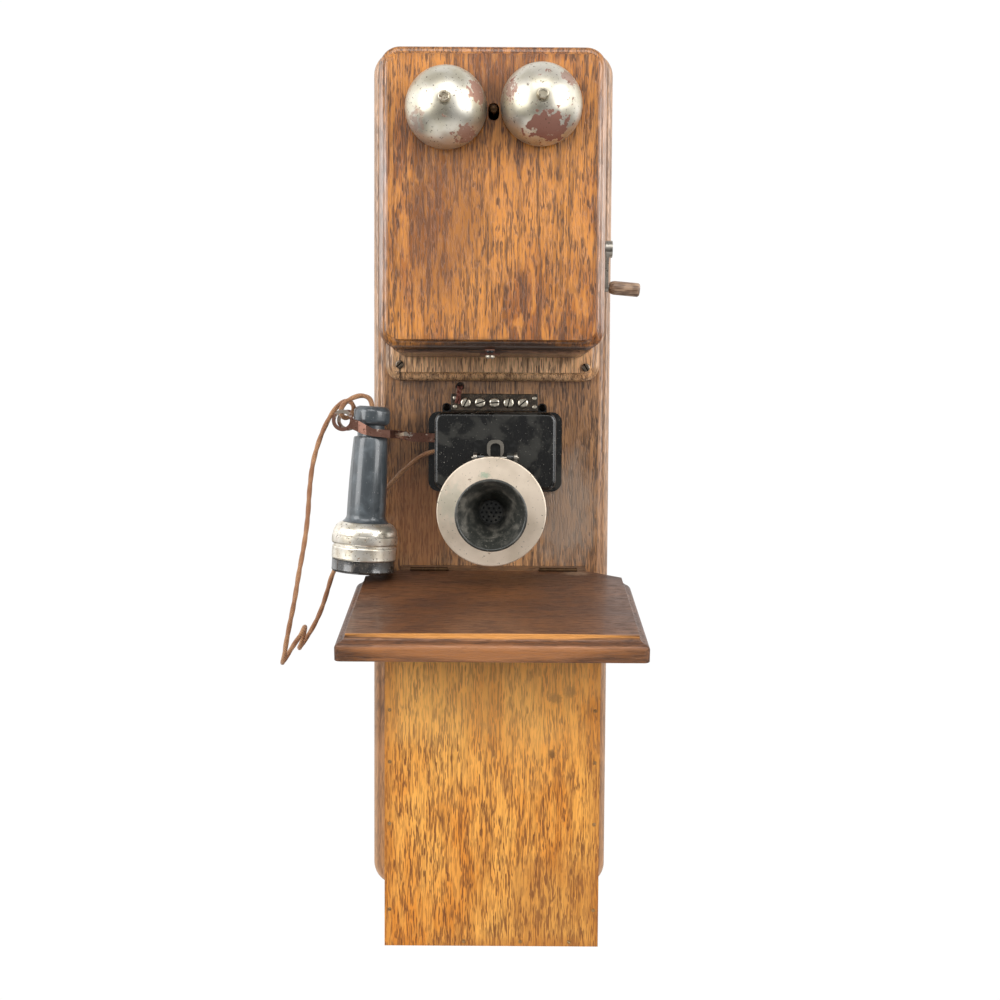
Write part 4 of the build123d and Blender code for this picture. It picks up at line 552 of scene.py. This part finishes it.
# %% [markdown]
# ## Black japan, hard rubber, fibre, turned wood
#
# The transmitter case is sheet iron dipped in japan, an asphalt varnish baked hard: deep black,
# glossy, and dusty today. The receiver's shell and the mouthpiece are ebonite, rubber hardened
# with sulphur, which was turned and polished black and goes grey and dull where light and hands
# reach it. The terminal strip is pressed fibre. The crank's grip is a turned hardwood bead with
# its grain along its own length.

# %% Dark finishes
def coated(name, deep, worn, dust, shift, gloss, cloud_mm, wear=(0.45, 0.75), dusty=0.67, coat=0.0):
    """A dark finish with worn clouds and light specks of dust about 1 mm across."""
    material, tree, shader = start(name, Roughness=gloss, IOR=1.52, Coat_Weight=coat,
                                   Coat_Roughness=0.12)
    clouds = noise(tree, (cloud_mm,) * 3, shift, 4.0, 0.4)
    specks = mask(tree, noise(tree, (1.3,) * 3, shift + 6.1, 1.0), dusty, dusty + 0.04, 0, 0.7)
    scuffs = mask(tree, noise(tree, (1.5, 1.5, 13), shift + 2.7, 3.0), 0.6, 0.7, 0, 0.35)
    colour = paint(tree, mask(tree, clouds, *wear), deep, worn)
    colour = paint(tree, scuffs, colour, worn)
    colour = paint(tree, specks, colour, dust)
    feed(tree, shader, "Base Color", colour)
    feed(tree, shader, "Roughness", mask(tree, clouds, 0.35, 0.7, gloss, gloss + 0.22))
    bump(tree, shader, noise(tree, (2.6,) * 3, shift + 1.9, 4.0), 0.03)
    return material


japan = coated("black_japan", "#060605", "#2a2925", "#8d8980", 41.0, 0.2, 24.0, wear=(0.5, 0.58), dusty=0.7,
               coat=0.25)
hard_rubber = coated("ebonite_receiver", "#3a4044", "#596166", "#8b8c89", 45.0, 0.3, 18.0, dusty=0.72,
                     coat=0.7)
horn_rubber = coated("ebonite_horn", "#2b2c28", "#68645b", "#8d897d", 49.0, 0.36, 14.0, dusty=0.68,
                     coat=0.25)
cap_rubber = coated("ebonite_ear_cap", "#1d1b19", "#4b443b", "#a0968a", 53.0, 0.2, 10.0, coat=0.9)
fibre = coated("pressed_fibre", "#2f271e", "#5a4a38", "#8d806a", 57.0, 0.42, 9.0, dusty=0.64)
finish(japan, "case_cover", "case_base", "transmitter_cup")


def japanned_with_bare_ends(name, black, metal, bare_from_mm):
    """Japanned iron that is black up to bare_from_mm from the wall and bright metal beyond that."""
    material, tree, shader = start(name)
    bare = mask(tree, out_from_wall(tree), bare_from_mm * MM, (bare_from_mm + 0.4) * MM)
    rubbed = mask(tree, noise(tree, (3, 3, 3), 43.0, 4.0), 0.35, 0.6, 0.6, 1.0)
    feed(tree, shader, "Base Color", paint(tree, sums(tree, "MULTIPLY", bare, rubbed), black, metal))
    feed(tree, shader, "Metallic", bare)
    feed(tree, shader, "Roughness", mask(tree, rubbed, 0.6, 1.0, 0.5, 0.28))
    return material


finish(japanned_with_bare_ends("japanned_bracket", "#0d0d0c", "#a9a297", 67.2), "transmitter_bracket")
finish(hard_rubber, "receiver_shell")
finish(horn_rubber, "mouthpiece")
finish(cap_rubber, "ear_cap")
finish(fibre, "terminal_strip")


def turned_wood(name, deep, light, shift):
    """Close-grained turned wood: fine streaks along x, soft clouds, handled to a dull shine."""
    material, tree, shader = start(name, Roughness=0.4, IOR=1.5)
    streaks = mask(tree, noise(tree, (14, 1.2, 1.2), shift, 3.0), 0.42, 0.62)
    clouds = mask(tree, noise(tree, (9, 6, 6), shift + 3.0, 2.0), 0.4, 0.65, 0, 0.6)
    feed(tree, shader, "Base Color", paint(tree, clouds, paint(tree, streaks, light, deep), deep))
    bump(tree, shader, streaks, 0.05)
    return material


WAVE_SPAN = 0.314   # how far apart a wave texture's bands lie at Scale 1


def wound(name, thread, gap, pitch_mm, axis):
    """Wire or paper wound round a core: bands pitch_mm apart along one axis."""
    material, tree, shader = start(name, Roughness=0.5, IOR=1.5)
    place = add(tree, "ShaderNodeTexCoord").outputs["Object"]
    turns = add(tree, "ShaderNodeTexWave",
                {0: place, "Scale": WAVE_SPAN / (pitch_mm * MM), "Distortion": 0.4,
                                            "Detail": 1.0}, wave_type="BANDS",
                                            bands_direction=axis).outputs[1]
    feed(tree, shader, "Base Color", paint(tree, turns, gap, thread))
    bump(tree, shader, turns, 0.2)
    return material


finish(turned_wood("turned_maple", "#6a5240", "#b0937a", 61.0), "crank_handle")
finish(wound("wound_enamelled_wire", "#6e3325", "#2f1610", 1.0, "Z"), "ringer_coils")
finish(wound("wound_green_silk", "#4d5a3c", "#232a1b", 1.0, "X"), "induction_coil")
finish(coated("cell_card", "#5d4433", "#7a5c45", "#a58c70", 65.0, 0.6, 12.0), "dry_cells")
finish(wound("cotton_wire", "#8c5142", "#4e2a20", 1.1, "Z"), "line_wires")
print("all nodes finished")


# %% [markdown]
# ## Round pieces as turned profiles
#
# Bells, caps, ferrules and the horn were spun, drawn or turned, so each is one profile carried
# round an axis. The CAD model shows them with small flat faces; here each is worked out again as
# one smooth surface. The profile is a short list of stations (radius, height); a station in square
# brackets is the middle of an arc between its neighbours. Angle and profile are the two
# parameters of the grid, and the whole grid comes out of one numpy expression.

# %% Profiles and turning
def profile(*stations, steps=12):
    """Points along straight runs, and along circle arcs wherever a station is a list: the arc's middle
    point."""
    pieces = []
    for i, here in enumerate(stations):
        if isinstance(here, list):
            a, m, b = (np.array(stations[j], float) for j in (i - 1, i, i + 1))
            rows = np.array([m - a, b - a]) * 2
            centre = np.linalg.solve(rows, [m @ m - a @ a, b @ b - a @ a])
            swing = [math.atan2(*(p - centre)[::-1]) for p in (a, m, b)]
            swing = np.unwrap(swing)
            angle = np.linspace(swing[0], swing[2], steps + 1)[1:-1]
            pieces.append(centre + math.dist(a, centre) * np.column_stack([np.cos(angle), np.sin(angle)]))
        else:
            pieces.append(np.array([here], float))
    return np.vstack(pieces)


def new_piece(name, points, faces, material, body, crease_degrees=34.0):
    """A smooth shaded mesh in metres, sharp where faces meet at more than crease_degrees, riding on a
    body."""
    mesh = bpy.data.meshes.new(name)
    mesh.from_pydata(points, [], faces)
    mesh.polygons.foreach_set("use_smooth", np.ones(len(mesh.polygons), bool))
    mesh.set_sharp_from_angle(angle=math.radians(crease_degrees))
    mesh.materials.append(material)
    piece = bpy.data.objects.new(name, mesh)
    SCENE.collection.objects.link(piece)
    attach(piece, body)
    return piece


def turned(name, line, foot, axis, material, body, around=96, closed=False):
    """Turns a profile (radius r, height h, in mm) about an axis through foot: foot + h axis + r (cos a, sin
    a).
    An open profile starts and ends on the axis, where its end rings become single points."""
    axis = Vector(axis).normalized()
    side = axis.orthogonal().normalized()
    across = axis.cross(side)
    angle = np.linspace(0, 2 * math.pi, around, endpoint=False)[None, :, None]
    ring = np.cos(angle) * np.array(side) + np.sin(angle) * np.array(across)
    rings = line if closed else line[1:-1]
    grid = (np.array(foot, float) + rings[:, 1][:, None, None] * np.array(axis) + rings[:, 0][:, None,
                                                                                              None] * ring)
    points = grid.reshape(-1, 3) * MM
    count = len(rings)
    row = np.arange(count if closed else count - 1)[:, None]
    spoke = np.arange(around)[None, :]
    after, beyond = (spoke + 1) % around, (row + 1) % count
    quads = np.stack([row * around + spoke, row * around + after, beyond * around + after,
                      beyond * around + spoke],
                     -1).reshape(-1, 4)
    faces = quads.tolist()
    if not closed:
        ends = np.array(foot, float) + line[[0, -1], 1][:, None] * np.array(axis)
        points = np.vstack([points, ends * MM])
        first, last = count * around, count * around + 1
        turn, step = np.arange(around), (np.arange(around) + 1) % around
        faces += np.stack([np.full(around, first), step, turn], -1).tolist()
        faces += np.stack([np.full(around, last), (count - 1) * around + turn, (count - 1) * around + step],
                          -1).tolist()
    piece = new_piece(name, points, faces, material, body)
    mesh = piece.data
    if signed_volume(mesh) < 0:
        mesh.flip_normals()
    print(name, "faces", len(mesh.polygons), "volume cm3", round(signed_volume(mesh) * 1e6, 2))
    return piece


def signed_volume(mesh):
    """A closed mesh's volume, positive if its faces point outwards: a sixth of the sum of a . (b x c)."""
    mesh.calc_loop_triangles()
    corners = np.zeros(len(mesh.loop_triangles) * 3, np.int32)
    mesh.loop_triangles.foreach_get("vertices", corners)
    co = np.zeros(len(mesh.vertices) * 3)
    mesh.vertices.foreach_get("co", co)
    a, b, c = np.moveaxis(co.reshape(-1, 3)[corners.reshape(-1, 3)], 1, 0)
    return float((a * np.cross(b, c)).sum() / 6)


# %% [markdown]
# ## The two bells
#
# Each bell is a deep cup of thin sheet, spun over a former, with its mouth towards the door and a
# small flat at the crown where its post and nut hold it. A cup that deep rings lower than a flat
# dish. The two differ a little in place, so the clapper strikes each in turn.

# %% Bells
BELL_RIM_OUT, BELL_DEEP, BELL_RADIUS, BELL_WALL, BELL_FLAT, BELL_HOLE = 146.0, 36.0, 35.15, 1.6, 6.0, 2.0
TOWARDS_ROOM = (0, -1, 0)
bell_line = profile(
    (BELL_HOLE, BELL_DEEP), (BELL_FLAT, BELL_DEEP), [BELL_RADIUS * 0.72, BELL_DEEP * 0.708],
    (BELL_RADIUS, 0.5), (BELL_RADIUS - 0.4, 0), (BELL_RADIUS - BELL_WALL, 0),
    [(BELL_RADIUS - BELL_WALL) * 0.718, (BELL_DEEP - BELL_WALL) * 0.705],
    (BELL_FLAT, BELL_DEEP - BELL_WALL), (BELL_HOLE, BELL_DEEP - BELL_WALL), steps=28)
for side, x, z, metal in (("left", -39.7, 323.0, nickel_left), ("right", 42.2, 326.0, nickel_right)):
    bell = turned(f"bell_{side}", bell_line, (x, -BELL_RIM_OUT, z), TOWARDS_ROOM, metal, "front_door", 128,
                  True)
    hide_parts(f"gong_{side}")

# %% [markdown]
# ## The receiver
#
# The receiver is three turned parts on one axis: a tapered shell of hard rubber with a knob at its
# top for the hook, a nickelled ferrule with two raised bands, and a black cap with a dished ear
# piece. It hangs a few degrees off upright. Turning the three on the same leaning axis keeps them
# in line.

# %% Receiver parts
RECEIVER_FOOT = (-120.2, -62.0, -87.4)
RECEIVER_LEAN = math.radians(3.4)
RECEIVER_AXIS = (math.sin(RECEIVER_LEAN), 0, math.cos(RECEIVER_LEAN))
shell_line = profile(
    (0, 47.0), (21.7, 47.0), [19.2, 49.6], (18.2, 54), [17.6, 90], (15.9, 125), (15.2, 126.6),
    (12.6, 127.2),
    (12.6, 137.9), [15.5, 139.4], (17, 142.9), (17, 149.6), [15.2, 153.9], (11, 155.6), (3.2, 155.6),
    (0, 155.4))
ferrule_line = profile(
    (0, 11.9), (29.2, 11.9), [29.8, 12.6], (30, 13.6), (30, 22.6), [29.7, 23.8], (28.7, 24.4), (28.7, 26.2),
    [30.2, 26.8], (30.8, 28), (30.8, 34.4), (30, 35.4), (30, 36.4), [28.2, 42], (21.7, 46.8), (0, 46.8))
cap_line = profile(
    (0, 4.6), (6, 4), (7, 1.2), (14, 3.4), (22, 2.2), (25.5, 0), (28, 0), [29.2, 0.9], (29.5, 3),
    (29.5, 11.6),
    (0, 11.6))
shell = turned("receiver_shell_smooth", shell_line, RECEIVER_FOOT, RECEIVER_AXIS, hard_rubber, "receiver")
ferrule = turned("receiver_ferrule", ferrule_line, RECEIVER_FOOT, RECEIVER_AXIS, nickel_plain, "receiver")
cap = turned("receiver_cap", cap_line, RECEIVER_FOOT, RECEIVER_AXIS, cap_rubber, "receiver")
for piece, node, slot_name in ((shell, "receiver_shell", "ebonite"),
                               (ferrule, "receiver_collar", "worn_nickel"),
                               (cap, "ear_cap", "ebonite")):
    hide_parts(node)

# %% [markdown]
# ## The horn and its faceplate
#
# The mouthpiece screws into a round nickelled plate. Its bell flares outwards like a small
# trumpet and has a thick rolled lip, and at its throat a little grille keeps fingers off the
# diaphragm. The horn is one turned surface, inside and out. The grille is a disc with nineteen
# holes cut through it by one cutter mesh, because a hole that light goes into looks like nothing
# else.

# %% Horn, grille and faceplate
FACE_OUT, FACE_RADIUS, FACE_THICK = 108.0, 49.8, 2.0
HORN_CENTRE = (1.0, -FACE_OUT, -27.0)
horn_line = profile(
    (10.2, 0.05), (20, 0.05), (19.6, 4), [16.8, 9], (17.6, 13), [22.6, 28], (31.75, 42), [30.65, 44],
    (29.15, 42.4), [19.4, 26], (13.6, 12), [12.4, 9], (11, 6), (10.2, 6), steps=18)
horn = turned("horn", horn_line, HORN_CENTRE, TOWARDS_ROOM, horn_rubber, "transmitter", 96, True)
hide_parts("mouthpiece")
plate_line = profile(
    (11.0, -FACE_THICK), (FACE_RADIUS - 0.2, -FACE_THICK), (FACE_RADIUS, -FACE_THICK + 0.3),
    (FACE_RADIUS, -1.2),
    [FACE_RADIUS - 0.35, -0.35], (FACE_RADIUS - 1.2, 0), (11.0, 0))
plate = turned("nickel_plate", plate_line, HORN_CENTRE, TOWARDS_ROOM, nickel_face, "transmitter", 128, True)
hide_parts("faceplate")

HOLE_RADIUS, HOLE_RINGS = 1.0, ((1, 0.0), (6, 4.2), (12, 8.2))
grille = turned("horn_grille", profile((0, 4), (10.6, 4), (10.6, 6), (0, 6)), HORN_CENTRE, TOWARDS_ROOM,
                horn_rubber,
                "transmitter", 64)
hole_centres = [(ring * math.cos(2 * math.pi * k / count), ring * math.sin(2 * math.pi * k / count))
                for count, ring in HOLE_RINGS for k in range(count)]
drills = [turned(f"drill_{k}", profile((0, 3), (HOLE_RADIUS, 3), (HOLE_RADIUS, 7), (0, 7)),
                 (HORN_CENTRE[0] + dx, HORN_CENTRE[1], HORN_CENTRE[2] + dz), TOWARDS_ROOM, horn_rubber,
                 "transmitter", 16) for k, (dx, dz) in enumerate(hole_centres)]
drill_box = bpy.data.collections.new("drills")
for drill in drills:
    drill_box.objects.link(drill)
cut = grille.modifiers.new("holes", "BOOLEAN")
cut.operation, cut.solver, cut.operand_type, cut.collection = "DIFFERENCE", "EXACT", "COLLECTION", drill_box
drilled = bpy.data.meshes.new_from_object(grille.evaluated_get(bpy.context.evaluated_depsgraph_get()))
grille.modifiers.clear()
grille.data = drilled
drilled.polygons.foreach_set("use_smooth", np.zeros(len(drilled.polygons), bool))
for drill in drills:
    bpy.data.objects.remove(drill)
bpy.data.collections.remove(drill_box)
print("grille faces", len(grille.data.polygons), "volume cm3", round(signed_volume(grille.data) * 1e6, 3))

# %% [markdown]
# ## The cotton cord
#
# Two insulated strands lie side by side under one woven cotton cover, and the pair is twisted, so
# the cord shows a slow spiral of two soft ridges. The surface is a ring carried along the spline:
# its radius swells twice round the ring, and the swelling turns as it goes along. The frame that
# carries the ring is turned as little as possible from one point of the line to the next. The
# piece gets its own UV map, around and along, so the weave follows the cord.

# %% Cord surface
CORD_TWIST_MM, CORD_AROUND, RIDGE = 16.0, 20, 0.09
THREAD_MM = 1.3   # the real thread is about 0.4 mm; drawn coarser so that it shows


def carried_frame(line):
    """Two directions square to a line at each of its points, turned as little as possible from point to
    point."""
    tangent = np.gradient(line, axis=0)
    tangent /= np.linalg.norm(tangent, axis=1)[:, None]
    side = np.cross(tangent[0], (0, 0, 1.0))
    sides = []
    for way_on in tangent:
        side = side - way_on * (side @ way_on)
        side = side / np.linalg.norm(side)
        sides.append(side)
    sides = np.array(sides)
    return sides, np.cross(tangent, sides)


def cord_surface(line, radius, twist, around, ridge):
    """Points line + r (cos a side + sin a up), with r = radius (1 - ridge + ridge |cos(a - turn)|) along
    the line."""
    side, up = carried_frame(line)
    gone = np.concatenate([[0], np.cumsum(np.linalg.norm(np.diff(line, axis=0), axis=1))])
    a = np.linspace(0, 2 * math.pi, around, endpoint=False)[None, :]
    r = radius * (1 - 2 * ridge + 2 * ridge * np.abs(np.cos(a - math.pi * gone[:, None] / twist)))
    points = (line[:, None] + (r * np.cos(a))[..., None] * side[:, None]
              + (r * np.sin(a))[..., None] * up[:, None])
    return points.reshape(-1, 3), gone


tube, gone = cord_surface(cord_line, CORD_DIAMETER / 2, CORD_TWIST_MM * MM, CORD_AROUND, RIDGE)
row = np.arange(len(cord_line) - 1)[:, None] * CORD_AROUND
spoke = np.arange(CORD_AROUND)[None, :]
after = (spoke + 1) % CORD_AROUND
tube_faces = np.stack([row + spoke, row + CORD_AROUND + spoke, row + CORD_AROUND + after, row + after],
                      -1).reshape(-1, 4)
caps = [list(range(CORD_AROUND)), list(range(len(tube) - 1, len(tube) - 1 - CORD_AROUND, -1))]

cotton, tree, shader = start("woven_cotton_cord", Roughness=0.75, IOR=1.48, Sheen_Weight=0.35,
                             Sheen_Roughness=0.5)
weave_at = add(tree, "ShaderNodeUVMap", uv_map="along").outputs[0]
turned_weave = [add(tree, "ShaderNodeMapping", {0: weave_at, 2: (0, 0, turn)}).outputs[0]
                for turn in (0.8, -0.8)]
lay = [add(tree, "ShaderNodeTexWave", {0: at, "Scale": WAVE_SPAN / THREAD_MM, "Distortion": 0.6},
           bands_direction="X").outputs[1] for at in turned_weave]
weave = sums(tree, "MULTIPLY", lay[0], lay[1])
fade = noise(tree, (16, 16, 16), 71.0, 3.0)
cover = paint(tree, mask(tree, fade, 0.35, 0.65), "#dba878", "#ab7650")
feed(tree, shader, "Base Color", paint(tree, mask(tree, weave, 0.0, 0.4), "#73492c", cover))
bump(tree, shader, weave, 0.25)

cord = new_piece("cotton_cord", tube, tube_faces.tolist() + caps, cotton, "receiver", 60.0)
corners = np.zeros(len(cord.data.loops), np.int32)
cord.data.loops.foreach_get("vertex_index", corners)
first_corner = np.zeros(len(cord.data.polygons), np.int32)
cord.data.polygons.foreach_get("loop_start", first_corner)
turn_part = (corners % CORD_AROUND) / CORD_AROUND
wraps = np.zeros(len(corners), bool)
wraps[:len(tube_faces) * 4] = np.tile((np.arange(CORD_AROUND) == CORD_AROUND - 1).repeat(4),
                                      len(cord_line) - 1)
turn_part = np.where(wraps & (turn_part == 0), 1.0, turn_part)
uv = cord.data.uv_layers.new(name="along")
uv.data.foreach_set("uv", np.column_stack([turn_part * math.pi * CORD_DIAMETER / MM,
                                           gone[corners // CORD_AROUND] / MM]).ravel())
if signed_volume(cord.data) < 0:
    cord.data.flip_normals()
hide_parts("receiver_cord")
print("cord faces", len(cord.data.polygons), "volume cm3", round(signed_volume(cord.data) * 1e6, 2))

# %% [markdown]
# ## The crank's grip
#
# The grip is a turned wooden bead, free to spin on its rivet. Its left end is cut to a cone where
# it meets the arm.

# %% Grip
GRIP_ROOT = (106.2, -78.0, 178.0)
GRIP_TILT = math.radians(5)
GRIP_AXIS = (math.cos(GRIP_TILT), 0, -math.sin(GRIP_TILT))
grip_line = profile((0, 1.2), (3.6, 1.2), (4.6, 1.6), [5.9, 4.2], (6.3, 7.5), (6.3, 26.6), [5.6, 28.8],
                    (4.2, 29.5),
                    (0, 29.5))
grip = turned("crank_grip", grip_line, GRIP_ROOT, GRIP_AXIS,
              NODES["crank_handle"].material_slots[0].material,
              "crank_knob", 48)
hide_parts("crank_handle")
